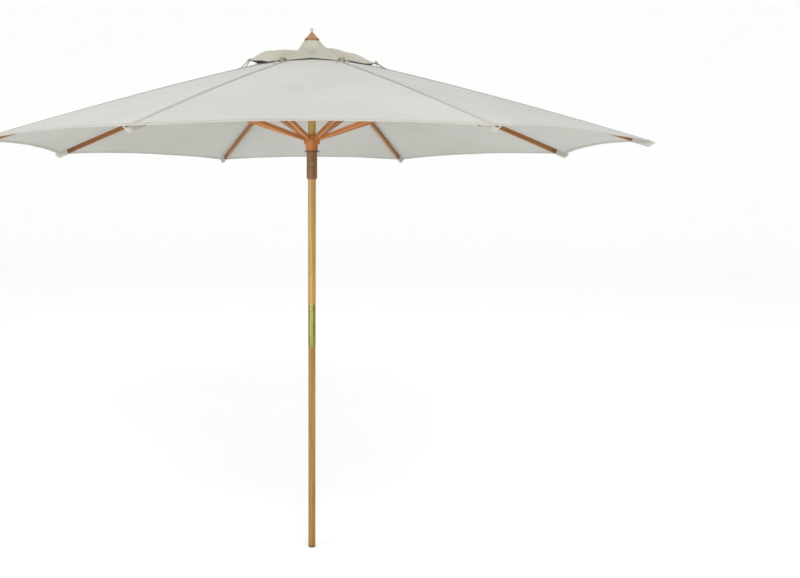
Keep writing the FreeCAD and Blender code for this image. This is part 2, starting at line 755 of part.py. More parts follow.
def make_bracket(number):
    """Folded brass bracket under a rib, with the strut's pin and two screws, about the pin's axis."""
    body = doc.addObject("PartDesign::Body", f"bracket_{number}")
    plate = new_sketch(body, "XZ_Plane")
    under = "Worked.bracket_top - Sizes.bracket_plate"
    draw_box(plate, "-Sizes.bracket_len / 2", "Sizes.bracket_len / 2", under, "Worked.bracket_top")
    pad(plate, "Worked.bracket_width", symmetric=True)
    ears = new_sketch(body, "XZ_Plane")
    corners = [
        ("-Sizes.bracket_ear", "0"),
        ("Sizes.bracket_ear", "0"),
        ("Sizes.bracket_ear_spread", under),
        ("-Sizes.bracket_ear_spread", under),
    ]
    draw_outline(ears, corners, {0: ("0", "-Sizes.bracket_ear", "DistanceY", "0")})
    pad(ears, "Worked.bracket_width", symmetric=True)
    channel = new_sketch(body, "YZ_Plane")
    half = "Worked.notch_width / 2"
    draw_box(channel, f"-{half}", half, "-Sizes.bracket_ear - Sizes.cut_past", under)
    pocket(channel, "2 * Sizes.bracket_ear_spread + 2 * Sizes.cut_past", symmetric=True)
    pin_hole = new_sketch(body, "XZ_Plane")
    draw_circle(pin_hole, "Worked.pin_hole_dia")
    pocket(pin_hole, "Worked.bracket_width + 2 * Sizes.cut_past", symmetric=True)
    screw_holes = new_sketch(body, "XY_Plane")
    for sign in ("-", ""):
        along = f"{sign}Sizes.bracket_screw_pitch / 2"
        draw_circle(screw_holes, "Sizes.bracket_screw_dia + 2 * Sizes.screw_fit", along, "0")
    pocket(screw_holes, "Worked.bracket_top + Sizes.cut_past", reverse=True)

    name = f"bracket_pin_{number}"
    reach = size("bracket_width") / 2 + size("pin_play")
    shank_base = FreeCAD.Vector(0, -reach, 0)
    long = "Worked.bracket_width + 2 * Sizes.pin_play"
    parts = [cylinder(name + "_shank", "Sizes.pin_dia", long, shank_base, Y_AXIS)]
    for side in (1, -1):
        seat = FreeCAD.Vector(0, side * reach, 0)
        parts.append(cylinder(f"{name}_head", "Sizes.pin_head_dia", "Sizes.pin_head", seat, Y_AXIS * side))
    solids = [body, fuse(name, parts)]
    seat_z = size("bracket_top") - size("bracket_plate") - size("seat_gap")
    for side in (1, -1):
        name = f"bracket_screw_{number}"
        seat = FreeCAD.Vector(side * size("bracket_screw_pitch") / 2, 0, seat_z)
        shank = cylinder(name + "_shank", "Sizes.bracket_screw_dia", "Sizes.bracket_screw_len", seat)
        head = cylinder(name + "_head", "2 * Sizes.bracket_screw_dia", "Sizes.screw_head", seat, -Z_AXIS)
        solids.append(fuse(name, [shank, head]))
    hang = FreeCAD.Placement(FreeCAD.Vector(size("pin_along"), 0, -size("pin_below")), FreeCAD.Rotation())
    rib = in_rib_plane(number, size("ring_radius"), CROWN_Z, size("canopy_slope"))
    keep(group(f"strut_bracket_{number}", solids), rib.multiply(hang))


# ---- runner --------------------------------------------------------------------------------------


def make_runner_hub():
    """Wooden hub that slides on the pole, notched from above for the struts, with a neck below."""
    body = new_body("runner_hub")
    make_hub_disc(body, "Worked.runner_bore", "Sizes.runner_below", "Sizes.runner_above")
    neck = new_sketch(body, "XZ_Plane")
    foot = "-Sizes.runner_below - Sizes.neck_len"
    draw_box(neck, "Worked.runner_bore / 2", "Worked.neck_dia / 2", foot, "-Sizes.runner_below")
    turn(neck)
    notch_round(body, "-Worked.notch_reach", "Sizes.runner_above + Sizes.cut_past")
    keep(body, at_height(RUNNER_Z))


def sleeve_top():
    """Height of the runner sleeve's top end."""
    neck_end = RUNNER_Z - size("runner_below") - size("neck_len")
    return neck_end - size("washer_height") - 2 * size("seat_gap")


def make_runner_washer():
    """Thin dark flange between the runner hub and its sleeve."""
    disc = cylinder("runner_washer_disc", "Sizes.washer_dia", "Sizes.washer_height")
    hole = cylinder("runner_washer_hole", "Worked.runner_bore", "Sizes.washer_height")
    washer = doc.addObject("Part::Cut", "runner_washer")
    washer.Label = "runner_washer"
    washer.Base = disc
    washer.Tool = hole
    keep(washer, at_height(sleeve_top() + size("seat_gap")))


def make_runner_sleeve():
    """Long sleeve under the runner hub, coned at its foot and drilled for the locking screw."""
    body = new_body("runner_sleeve")
    profile = new_sketch(body, "XZ_Plane")
    bore = "Worked.runner_bore / 2"
    corners = [
        (bore, "-Sizes.sleeve_len"),
        (f"{bore} + Sizes.sleeve_lip", "-Sizes.sleeve_len"),
        ("Worked.sleeve_dia / 2", "-Sizes.sleeve_len + Sizes.sleeve_chamfer"),
        ("Worked.sleeve_dia / 2", "0"),
        (bore, "0"),
    ]
    draw_outline(profile, corners)
    turn(profile)
    hole = new_sketch(body, "XZ_Plane")
    draw_circle(hole, "Sizes.lock_dia + 2 * Sizes.lock_fit", "0", "-Sizes.lock_drop")
    pocket(hole, "Worked.sleeve_dia", reverse=True)
    keep(body, at_height(sleeve_top()))


def make_lock_screw():
    """Fluted brass thumb screw that pinches the runner on the pole, facing -Y."""
    body = new_body("lock_screw")
    tip = "Worked.runner_bore / 2 + Sizes.lock_tip_gap"
    shoulder = "Worked.lock_shoulder"
    shaft = new_sketch(body, "XZ_Plane")
    corners = [
        ("0", tip),
        ("Sizes.lock_dia / 2", tip),
        ("Sizes.lock_dia / 2", shoulder),
        ("Sizes.lock_collar_dia / 2", shoulder),
        ("Sizes.lock_collar_dia / 2", f"{shoulder} + Sizes.lock_collar"),
        ("Sizes.lock_knob_dia / 2", f"{shoulder} + 2 * Sizes.lock_collar"),
        ("Sizes.lock_knob_dia / 2", f"{shoulder} + 2 * Sizes.lock_collar + Sizes.lock_knob"),
        ("0", f"{shoulder} + 2 * Sizes.lock_collar + Sizes.lock_knob"),
    ]
    draw_outline(shaft, corners)
    turn(shaft)
    flute = new_sketch(body, "XY_Plane")
    draw_circle(flute, "Sizes.lock_flute", "Sizes.lock_knob_dia / 2 + Sizes.flute_out")
    cut = pocket(flute, "Worked.sleeve_dia + Sizes.lock_knob", reverse=True)
    repeat_round(cut, FLUTES)
    place = FreeCAD.Placement(
        FreeCAD.Vector(0, 0, sleeve_top() - size("lock_drop")),
        FreeCAD.Rotation(X_AXIS, 90),
    )
    keep(body, place)


# ---- cloth ---------------------------------------------------------------------------------------


def rib_top(radius):
    """Height of a rib's upper face at a distance from the pole's axis."""
    reach = size("canopy_radius") - size("rib_inset") - size("ring_radius")
    along = (radius - size("ring_radius")) / reach
    bow = 4 * size("rib_bow") * along * (1 - along)
    slope = math.radians(size("canopy_slope"))
    drop = (radius - size("ring_radius")) * math.tan(slope)
    return CROWN_Z - drop + (bow + size("rib_depth") / 2) / math.cos(slope)


def cloth_top(radius, share):
    """Height of the canopy's upper face: share runs from 0 over a rib to 1 at the panel's middle."""
    span = (radius - size("vent_opening")) / (size("canopy_radius") - size("vent_opening"))
    bay = math.sin(math.pi * min(max(span, 0), 1))
    sag = size("panel_sag") * bay * share * (2 - share)
    return rib_top(radius) + size("cloth_gap") + size("cloth") - sag


def gore_point(along, across):
    """A point of a gore's upper face: along 0 at the vent to 1 at the hem, across -1 to 1."""
    share = abs(across)
    rim = size("canopy_radius")
    hem = rim - size("hem_dip") / math.cos(HALF_PANEL) * share * (2 - share)
    radius = size("vent_opening") + (hem - size("vent_opening")) * along
    inward = radius * (1 - share * math.sin(HALF_PANEL) ** 2)
    sideways = radius * math.sin(HALF_PANEL) * math.cos(HALF_PANEL) * share
    if share == 1:
        inward += size("seam_gap") * math.sin(HALF_PANEL)
        sideways -= size("seam_gap") * math.cos(HALF_PANEL)
    return FreeCAD.Vector(inward, math.copysign(sideways, across), cloth_top(radius, share))


def closed_sheet(rows, thickness, closed=False):
    """A solid between a grid of points and the same grid lowered by a thickness."""
    drop = FreeCAD.Vector(0, 0, -thickness)
    low = [[point + drop for point in row] for row in rows]
    across = len(rows[0])
    steps = across if closed else across - 1
    faces = []

    def quad(a, b, c, d):
        faces.append(Part.Face(Part.makePolygon([a, b, c, a])))
        faces.append(Part.Face(Part.makePolygon([a, c, d, a])))

    for i in range(len(rows) - 1):
        for j in range(steps):
            k = (j + 1) % across
            quad(rows[i][j], rows[i + 1][j], rows[i + 1][k], rows[i][k])
            quad(low[i][j], low[i][k], low[i + 1][k], low[i + 1][j])
    for j in range(steps):
        k = (j + 1) % across
        quad(rows[0][j], rows[0][k], low[0][k], low[0][j])
        quad(rows[-1][k], rows[-1][j], low[-1][j], low[-1][k])
    if not closed:
        for i in range(len(rows) - 1):
            quad(rows[i + 1][0], rows[i][0], low[i][0], low[i + 1][0])
            quad(rows[i][-1], rows[i + 1][-1], low[i + 1][-1], low[i][-1])
    shell = Part.makeShell(faces)
    shell.sewShape()
    return Part.makeSolid(shell)


def make_gores():
    """Eight gores of the canopy, each centred on its rib and sewn to the next at mid-panel."""
    rows = []
    for i in range(GORE_ROWS + 1):
        columns = range(-GORE_COLUMNS, GORE_COLUMNS + 1)
        rows.append([gore_point(i / GORE_ROWS, j / GORE_COLUMNS) for j in columns])
    solid = closed_sheet(rows, size("cloth"))
    for number in range(1, RIBS + 1):
        gore = doc.addObject("Part::Feature", f"canopy_gore_{number}")
        gore.Label = gore.Name
        gore.Shape = solid
        keep(gore, in_rib_plane(number, 0, 0, 0))


def make_pocket(number):
    """Cloth pocket sewn under the canopy's corner, into which the rib's end goes."""
    body = new_body(f"rib_pocket_{number}")
    outer = "Sizes.pocket_gap + Sizes.pocket_wall"
    half = "Sizes.rib_width / 2"
    bottom = f"-Sizes.rib_depth / 2 - {outer}"
    block = new_sketch(body, "XZ_Plane")
    draw_box(block, "-Sizes.pocket_len", outer, bottom, "Sizes.rib_depth / 2")
    pad(block, f"Sizes.rib_width + 2 * ({outer})", symmetric=True)
    room = new_sketch(body, "XZ_Plane")
    floor = "-Sizes.rib_depth / 2 - Sizes.pocket_gap"
    mouth = "-Sizes.pocket_len - Sizes.cut_past"
    draw_box(room, mouth, "Sizes.pocket_gap", floor, "Sizes.rib_depth / 2 + Sizes.cut_past")
    pocket(room, f"2 * ({half} + Sizes.pocket_gap)", symmetric=True)
    droop = math.degrees(4 * size("rib_bow") / size("rib_chord"))
    seat = FreeCAD.Placement(FreeCAD.Vector(size("rib_chord"), 0, 0), FreeCAD.Rotation(Y_AXIS, droop))
    rib = in_rib_plane(number, size("ring_radius"), CROWN_Z, size("canopy_slope"))
    keep(body, rib.multiply(seat))


def vent_edge(turned):
    """Distance of the vent cap's edge from the pole: turned is 0 at a point and 1 at a notch."""
    hollow = (1 - turned) ** VENT_HOLLOW
    return size("vent_notch") + (size("vent_point") - size("vent_notch")) * hollow


def vent_height(radius, turned):
    """Height of the vent cap's upper face, from its ridges over the ribs to the valleys between."""
    top = size("pole_top_z") + size("cloth_clamp") - size("vent_sink")
    flat = size("cap_washer_dia") / 2
    collar = size("vent_collar")
    shoulder = size("vent_shoulder")
    throat = top - size("vent_throat_drop")
    step = top - size("vent_shoulder_drop") - size("vent_valley_drop") * turned
    if radius <= flat:
        return top
    if radius <= collar:
        return top + (throat - top) * (radius - flat) / (collar - flat)
    if radius <= shoulder:
        return throat + (step - throat) * (radius - collar) / (shoulder - collar)
    share = (radius - shoulder) / (vent_edge(turned) - shoulder)
    ridge_end = cloth_top(size("vent_point"), 0) + size("vent_lift")
    valley_end = cloth_top(size("vent_notch") / math.cos(HALF_PANEL), 1) + size("vent_rest") + size("cloth")
    end = ridge_end + (valley_end - ridge_end) * turned
    return step + (end - step) * share


def make_vent_cap():
    """Eight-pointed cap over the vent, gathered under the finial and tied down to the ribs."""
    hole = size("dowel_hole_dia") / 2 + size("vent_hole_gap")
    flat = size("cap_washer_dia") / 2
    rows = []
    for step in range(6):
        row = []
        for spoke in range(len(VENT_SPOKES) * RIBS):
            turned = VENT_SPOKES[spoke % len(VENT_SPOKES)]
            edge = vent_edge(turned)
            shoulder = size("vent_shoulder")
            middle = shoulder + (edge - shoulder) / 2
            radius = (hole, flat, size("vent_collar"), shoulder, middle, edge)[step]
            angle = math.radians(FIRST_RIB + RIB_STEP * spoke / len(VENT_SPOKES))
            height = vent_height(radius, turned)
            row.append(FreeCAD.Vector(radius * math.cos(angle), radius * math.sin(angle), height))
        rows.append(row)
    cap = doc.addObject("Part::Feature", "vent_cap")
    cap.Label = "vent_cap"
    cap.Shape = closed_sheet(rows, size("cloth"), closed=True)
    keep(cap)


# ---- the whole umbrella --------------------------------------------------------------------------


def check_document():
    """Stop if any object failed to build or a sub-part is empty or broken."""
    for item in doc.Objects:
        if {"Invalid", "Error"} & set(item.State):
            raise RuntimeError(f"{item.Label} did not build: {item.State}")
    for part in NODES:
        if part.Shape.isNull() or not part.Shape.isValid() or part.Shape.Volume <= 0:
            raise RuntimeError(f"{part.Label} has no sound shape")


def write_parts():
    """Write one file for each sub-part, named by its Label."""
    os.makedirs("parts", exist_ok=True)
    for part in NODES:
        part.Shape.exportStep(os.path.join("parts", part.Label + ".step"))


make_foot_cap()
make_lower_pole()
make_ferrule()
make_ferrule_nails()
make_upper_pole()
make_crown_hub()
make_crown_screws()
make_wire("crown_wire", CROWN_Z)
make_cap_washer()
make_finial()
make_finial_eye()
for rib_number in range(1, RIBS + 1):
    make_rib(rib_number)
    make_bracket(rib_number)
    make_strut(rib_number)
    make_pocket(rib_number)
make_runner_hub()
make_wire("runner_wire", RUNNER_Z)
make_runner_washer()
make_runner_sleeve()
make_lock_screw()
make_gores()
make_vent_cap()
doc.recompute()
check_document()
write_parts()
print(f"{len(NODES)} nodes; crown pivots at {CROWN_Z:.3f}, runner pivots at {RUNNER_Z:.3f}")
print(f"ring radius {size('ring_radius'):.3f}, link angle {LINK_ANGLE:.4f}")
print(f"fold travel {90 - LINK_ANGLE:.4f}")
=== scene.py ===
"""The looks of a wooden market umbrella: its canvas, wood and metal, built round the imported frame.

All lengths are in metres. A rib's own frame has u outward from the pole, v to the rib's left and z up.
"""

import logging
import math
import random
from dataclasses import dataclass
from enum import Enum
from functools import partial
from typing import Callable, Sequence

import bmesh
import bpy
from mathutils import Matrix, Vector, noise


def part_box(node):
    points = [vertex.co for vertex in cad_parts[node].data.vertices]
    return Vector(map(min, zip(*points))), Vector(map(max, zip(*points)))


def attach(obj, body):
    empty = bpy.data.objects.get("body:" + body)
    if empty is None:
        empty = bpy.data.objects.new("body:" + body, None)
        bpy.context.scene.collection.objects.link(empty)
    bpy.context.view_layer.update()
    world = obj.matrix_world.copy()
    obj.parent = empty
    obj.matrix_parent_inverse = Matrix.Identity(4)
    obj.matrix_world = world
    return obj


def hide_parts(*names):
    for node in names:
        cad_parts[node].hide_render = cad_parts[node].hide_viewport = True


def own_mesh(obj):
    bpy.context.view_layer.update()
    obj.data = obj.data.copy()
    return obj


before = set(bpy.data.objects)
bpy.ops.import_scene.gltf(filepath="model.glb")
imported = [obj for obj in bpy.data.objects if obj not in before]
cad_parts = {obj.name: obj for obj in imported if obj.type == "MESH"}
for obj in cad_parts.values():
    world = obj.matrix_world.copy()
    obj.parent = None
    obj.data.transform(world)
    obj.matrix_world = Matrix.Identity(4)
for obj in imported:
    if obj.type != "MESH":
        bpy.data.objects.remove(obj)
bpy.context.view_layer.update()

log = logging.getLogger("umbrella")

RIBS = 8
RIB_STEP = math.tau / RIBS
HALF_PANEL = RIB_STEP / 2
MM = 0.001
CLOTH_THICKNESS = 1.1 * MM
HUB_ABOVE_PIVOTS = 18 * MM
UP = Vector((0, 0, 1))

Colour = tuple[float, float, float]
Section = Sequence[tuple[float, float]]
Frame = tuple[Vector, Vector, Vector]
Point = tuple[float, float, float]
Piece = bpy.types.Object
Material = bpy.types.Material


def linear(*display: int) -> Colour:
    """A display colour, 0 to 255 a channel, as linear light."""
    return tuple(c / 255 / 12.92 if c < 11 else ((c / 255 + 0.055) / 1.055) ** 2.4 for c in display)


def shaded(colour: Colour, factor: float) -> Colour:
    """A colour made lighter or darker by a factor."""
    return tuple(c * factor for c in colour)


def mix(a: float, b: float, share: float) -> float:
    """The number that lies a share of the way from a to b."""
    return a + (b - a) * share


def ease(share: float) -> float:
    """A smooth 0 to 1 step for a share that is clamped to 0 to 1."""
    share = min(max(share, 0.0), 1.0)
    return share * share * (3 - 2 * share)


def hump(distance: float, width: float) -> float:
    """A bell of height 1 at no distance, falling off over a width."""
    return math.exp(-((distance / width) ** 2))


def azimuth(number: int) -> float:
    """Direction of a rib round the pole, in radians."""
    return HALF_PANEL + RIB_STEP * (number - 1)


def rib_turn(number: int) -> Matrix:
    """Turns the rib's own frame round the pole into the umbrella's frame."""
    return Matrix.Rotation(azimuth(number), 4, "Z")


def tangent(number: int) -> Vector:
    """Level direction across a rib."""
    return Vector((-math.sin(azimuth(number)), math.cos(azimuth(number)), 0))


# ---- shader maths --------------------------------------------------------------------------------


def operator(operation: str, swapped: bool = False) -> Callable:
    """A method that puts a Math node between a Signal and another value, or between the two swapped.

    Args:
        operation: the node's operation.
        swapped: whether the other value comes first.

    Returns:
        The method.
    """

    def apply(self: "Signal", other: "Signal | float") -> "Signal":
        """The node's output."""
        pair = (other, self) if swapped else (self, other)
        return self.recipe.node("ShaderNodeMath", {"operation": operation}, dict(enumerate(pair)))

    return apply


class Signal:
    """One output of a shader node, with arithmetic on its value."""

    def __init__(self, recipe: "Recipe", socket: bpy.types.NodeSocket) -> None:
        """Holds the recipe that the node belongs to and the node's output."""
        self.recipe = recipe
        self.socket = socket

    def maths(self, operation: str, *others: "Signal | float") -> "Signal":
        """The result of a Math node.

        Args:
            operation: the node's operation, such as MULTIPLY.
            others: its second and third values.

        Returns:
            The node's output.
        """
        values = dict(enumerate((self, *others)))
        return self.recipe.node("ShaderNodeMath", {"operation": operation}, values)

    __add__ = __radd__ = operator("ADD")
    __mul__ = __rmul__ = operator("MULTIPLY")
    __sub__ = operator("SUBTRACT")
    __rsub__ = operator("SUBTRACT", swapped=True)
    __truediv__ = operator("DIVIDE")

    def __abs__(self) -> "Signal":
        """Size without sign."""
        return self.maths("ABSOLUTE")

    def step(self, low: float, high: float) -> "Signal":
        """A smooth 0 to 1 step between two values."""
        ranges = {"From Min": low, "From Max": high, "Value": self}
        return self.recipe.node("ShaderNodeMapRange", {"interpolation_type": "SMOOTHSTEP"}, ranges)

    def wave(self, length: float) -> "Signal":
        """A sine of this value, one turn each length."""
        return (self * (math.tau / length)).maths("SINE")


class Recipe:
    """One node material while it is put together."""

    def __init__(self, name: str) -> None:
        """Starts an empty material."""
        self.material = bpy.data.materials.new(name)
        self.material.use_nodes = True
        self.tree = self.material.node_tree
        self.tree.nodes.clear()

    def node(
        self, kind: str, settings: dict | None = None, values: dict | None = None, out: int | str = 0
    ) -> Signal:
        """Adds a node.

        Args:
            kind: the node's type.
            settings: its own properties, set first.
            values: a number, colour or Signal for each input that it sets.
            out: the output to give back.

        Returns:
            That output.
        """
        made = self.tree.nodes.new(kind)
        for name, value in (settings or {}).items():
            setattr(made, name, value)
        for key, value in (values or {}).items():
            if isinstance(value, Signal):
                self.tree.links.new(value.socket, made.inputs[key])
            else:
                made.inputs[key].default_value = value
        return Signal(self, made.outputs[out])

    def axes(self, source: Signal) -> list[Signal]:
        """The three numbers of a vector."""
        node = self.node("ShaderNodeSeparateXYZ", values={0: source}).socket.node
        return [Signal(self, output) for output in node.outputs]

    def here(self) -> Signal:
        """The point on the piece at rest."""
        return self.node("ShaderNodeTexCoord", out="Object")

    def place(self) -> list[Signal]:
        """X, Y and Z on the piece at rest."""
        return self.axes(self.here())

    def lay(self) -> list[Signal]:
        """Where a point lies on its cloth: across, along and in from the edge."""
        return self.axes(self.node("ShaderNodeAttribute", {"attribute_name": "lay"}, out="Vector"))

    def vector(self, x: Signal | float, y: Signal | float, z: Signal | float) -> Signal:
        """A vector from three numbers."""
        return self.node("ShaderNodeCombineXYZ", values={0: x, 1: y, 2: z})

    def cloud(self, where: Signal, scale: float, detail: float = 2.0, roughness: float = 0.5) -> Signal:
        """A noise from 0 to 1."""
        values = {"Vector": where, "Scale": scale, "Detail": detail, "Roughness": roughness}
        return self.node("ShaderNodeTexNoise", values=values)

    def blend(self, share: Signal | float, a: Signal | Colour, b: Signal | Colour) -> Signal:
        """A colour a share of the way from a to b."""
        sockets = {0: share, 6: self.opaque(a), 7: self.opaque(b)}
        return self.node("ShaderNodeMix", {"data_type": "RGBA"}, sockets, out=2)

    @staticmethod
    def opaque(colour: Signal | Colour) -> Signal | tuple:
        """A colour with the fourth number that sockets want."""
        return colour if isinstance(colour, Signal) else (*colour, 1.0)

    def bump(self, height: Signal, depth: float, strength: float) -> Signal:
        """A normal from a height, whose full range stands for a depth."""
        values = {"Strength": strength, "Distance": depth, "Height": height}
        return self.node("ShaderNodeBump", values=values)

    def surface(self, values: dict) -> Signal:
        """A Principled shader."""
        return self.node("ShaderNodeBsdfPrincipled", values=values)

    def finish(self, shader: Signal) -> Material:
        """Shows the shader as the material's surface."""
        output = self.tree.nodes.new("ShaderNodeOutputMaterial")
        self.tree.links.new(shader.socket, output.inputs["Surface"])
        return self.material


# ---- finishes ------------------------------------------------------------------------------------


class Stitching(Enum):
    """Where thread shows on a piece of cloth."""

    NONE = "none"
    SEAM = "seam"
    HEM = "hem"


@dataclass(frozen=True)
class Canvas:
    """Plain-woven cotton canvas, natural off-white."""

    name: str
    colour: Colour
    shade: Colour
    thread: float = 1.8 * MM
    stitch_row: float = 5 * MM
    stitch_length: float = 4 * MM
    stitching: Stitching = Stitching.NONE
    light_through: float = 0.22
    relief: float = 0.35 * MM

    def weave(self, across: Signal, along: Signal) -> Signal:
        """Height of the crossing threads, 0 to 1."""
        warp = across.wave(2 * self.thread)
        weft = along.wave(2 * self.thread)
        over = (warp * weft).step(-0.4, 0.4)
        return abs(warp) * over + abs(weft) * (1 - over)

    def thread_rows(self, across: Signal, along: Signal, inward: Signal) -> Signal | None:
        """Where stitches lie, as 1 on a stitch and 0 elsewhere."""
        if self.stitching is Stitching.NONE:
            return None
        rows = {
            Stitching.SEAM: (across, along, self.stitch_row),
            Stitching.HEM: (inward, across, 4 * self.stitch_row),
        }
        distance, run, offset = rows[self.stitching]
        line = 1 - abs(abs(distance) - offset).step(0.5 * MM, 1.0 * MM)
        return line * run.wave(self.stitch_length).step(-0.5, 0.1)

    def material(self) -> Material:
        """Builds the material."""
        recipe = Recipe(self.name)
        here = recipe.here()
        across, along, inward = recipe.lay()
        patches = recipe.cloud(here, 2.2, 4.0, 0.55)
        mottle = recipe.cloud(here, 38.0, 3.0, 0.6)
        slubs = recipe.cloud(recipe.vector(across * 900, along * 26, 0.0), 1.0)
        slubs = slubs + recipe.cloud(recipe.vector(across * 26, along * 900, 3.0), 1.0)
        tone = patches.step(0.35, 0.7) * 0.45 + mottle * 0.25 + slubs * 0.12
        colour = recipe.blend(tone, self.colour, self.shade)
        height = self.weave(across, along) * 0.55 + slubs * 0.3 + mottle * 0.25
        stitches = self.thread_rows(across, along, inward)
        if stitches is not None:
            colour = recipe.blend(stitches * 0.6, colour, shaded(self.colour, 1.12))
            height = height * (1 - stitches) + stitches * 1.6
        normal = recipe.bump(height, self.relief, 0.55)
        values = {"Base Color": colour, "Roughness": mottle * 0.15 + 0.78, "Normal": normal}
        values.update({"Sheen Weight": 0.18, "Sheen Roughness": 0.5, "Specular IOR Level": 0.25})
        front = recipe.surface(values)
        through = recipe.node("ShaderNodeBsdfTranslucent", values={"Color": colour, "Normal": normal})
        both = recipe.node("ShaderNodeMixShader", values={0: self.light_through, 1: front, 2: through})
        return recipe.finish(both)


class Grain(Enum):
    """Which way a wooden piece's grain runs."""

    UPRIGHT = "upright"
    OUTWARD = "outward"


@dataclass(frozen=True)
class OiledWood:
    """Oiled hardwood with straight grain, open pores and slightly darker streaks."""

    name: str
    light: Colour
    dark: Colour
    grain: Grain = Grain.UPRIGHT
    rise: float = 0.0
    ends: tuple[float, float] | None = None
    end_tone: Colour = (0.1, 0.05, 0.02)
    gloss: float = 0.42

    def along_grain(self, recipe: Recipe) -> tuple[Signal, Signal, Signal]:
        """Coordinates of a point: one along the grain and two across it."""
        x, y, z = recipe.place()
        if self.grain is Grain.UPRIGHT:
            return z, x, y
        turn = (y.maths("ARCTAN2", x) / RIB_STEP).maths("ADD", 8.0)
        number = turn.maths("FLOOR")
        swing = (turn.maths("FRACT") - 0.5) * RIB_STEP
        radius = (x * x + y * y).maths("SQRT")
        outward = radius * swing.maths("COSINE")
        sideways = radius * swing.maths("SINE")
        return outward + number * 7.3, sideways, z - outward * self.rise

    def material(self) -> Material:
        """Builds the material."""
        recipe = Recipe(self.name)
        along, across, over = self.along_grain(recipe)

        def fibres(long: float, fine: float, detail: float, roughness: float) -> Signal:
            """Noise drawn out along the grain: how fast it changes along and across."""
            where = recipe.vector(along * long, across * fine, over * fine)
            return recipe.cloud(where, 1.0, detail, roughness)

        streak = fibres(2.2, 95, 5.0, 0.62)
        bands = fibres(0.9, 28, 3.0, 0.5)
        pores = fibres(45, 900, 2.0, 0.5).step(0.58, 0.72)
        wear = fibres(6, 6, 4.0, 0.6)
        share = streak.step(0.3, 0.72) * 0.6 + bands.step(0.3, 0.7) * 0.4
        colour = recipe.blend(share, self.light, self.dark)
        colour = recipe.blend(pores * 0.45, colour, shaded(self.dark, 0.45))
        colour = recipe.blend(wear.step(0.45, 0.75) * 0.22, colour, shaded(self.dark, 0.7))
        if self.ends:
            x, y, _ = recipe.place()
            radius = (x * x + y * y).maths("SQRT")
            colour = recipe.blend(radius.step(*self.ends) * 0.55, colour, self.end_tone)
        height = streak * 0.6 + (1 - pores) * 0.7
        rough = wear * 0.22 + streak * 0.1 + self.gloss - 0.1
        normal = recipe.bump(height, 0.25 * MM, 0.5)
        values = {"Base Color": colour, "Roughness": rough, "Normal": normal}
        values.update({"Coat Weight": 0.12, "Coat Roughness": 0.35, "Specular IOR Level": 0.4})
        return recipe.finish(recipe.surface(values))


@dataclass(frozen=True)
class Metal:
    """Metal with brushed scratches and handling marks."""

    name: str
    colour: Colour
    tarnish: Colour
    roughness: float
    brush: float = 400.0
    metallic: float = 1.0

    def material(self) -> Material:
        """Builds the material."""
        recipe = Recipe(self.name)
        x, y, z = recipe.place()
        smear = recipe.cloud(recipe.here(), 60.0, 5.0, 0.65)
        scratch = recipe.cloud(recipe.vector(x * 20, y * 20, z * self.brush), 8.0, 3.0, 0.6)
        colour = recipe.blend(smear.step(0.42, 0.75) * 0.55, self.colour, self.tarnish)
        rough = smear * 0.25 + scratch * 0.12 + self.roughness - 0.12
        normal = recipe.bump(scratch, 0.05 * MM, 0.4)
        values = {"Base Color": colour, "Roughness": rough, "Metallic": self.metallic, "Normal": normal}
        return recipe.finish(recipe.surface(values))


@dataclass(frozen=True)
class Moulding:
    """Dark moulded plastic or paint with a fine texture."""

    name: str
    colour: Colour
    roughness: float = 0.55

    def material(self) -> Material:
        """Builds the material."""
        recipe = Recipe(self.name)
        here = recipe.here()
        pebble = recipe.cloud(here, 1400.0, 2.0, 0.6)
        dust = recipe.cloud(here, 90.0, 4.0, 0.6)
        pale = tuple(c * 1.8 + 0.01 for c in self.colour)
        colour = recipe.blend(dust.step(0.5, 0.8) * 0.4, self.colour, pale)
        normal = recipe.bump(pebble, 0.08 * MM, 0.5)
        values = {"Base Color": colour, "Roughness": dust * 0.2 + self.roughness - 0.1, "Normal": normal}
        return recipe.finish(recipe.surface(values))


Finish = OiledWood | Metal | Moulding

CLOTH = linear(194, 193, 188)
CLOTH_SHADE = linear(180, 179, 171)
# The canvas of seams, pockets, hems and bindings is a little darker than the gores': painted shade,
# standing in for the shade line along the hem.
SEAM_CLOTH = linear(187, 185, 178)
SEAM_SHADE = linear(172, 168, 157)
CAP_CLOTH = linear(186, 183, 170)
CAP_SHADE = linear(167, 161, 144)

CANOPY_CANVAS = Canvas("canopy_canvas", CLOTH, CLOTH_SHADE)
SEAM_CANVAS = Canvas("seam_canvas", SEAM_CLOTH, SEAM_SHADE, stitching=Stitching.SEAM)
HEM_CANVAS = Canvas("hem_canvas", SEAM_CLOTH, SEAM_SHADE, stitching=Stitching.HEM)
CAP_CANVAS = Canvas("cap_canvas", CAP_CLOTH, CAP_SHADE)
TIE_TAPE = Canvas("tie_tape", linear(183, 177, 161), linear(156, 150, 130), thread=0.9 * MM)


# ---- mesh work -----------------------------------------------------------------------------------


def new_piece(
    name: str, points: list[Vector], faces: list[tuple], lays: list[Vector] | None = None
) -> Piece:
    """Makes a smooth-shaded mesh object.

    Args:
        name: the piece's name.
        points: its vertices.
        faces: its faces, as vertex numbers.
        lays: where each vertex lies on its cloth.

    Returns:
        The object, linked to the scene.
    """
    mesh = bpy.data.meshes.new(name)
    mesh.from_pydata([tuple(p) for p in points], [], faces)
    if lays:
        attribute = mesh.attributes.new("lay", "FLOAT_VECTOR", "POINT")
        attribute.data.foreach_set("vector", [c for lay in lays for c in lay])
    mesh.shade_smooth()
    made = bpy.data.objects.new(name, mesh)
    bpy.context.scene.collection.objects.link(made)
    return made


def sharpen(piece: Piece, angle: float) -> None:
    """Keeps edges steeper than an angle, in degrees, crisp under smooth shading."""
    piece.data.set_sharp_from_angle(angle=math.radians(angle))


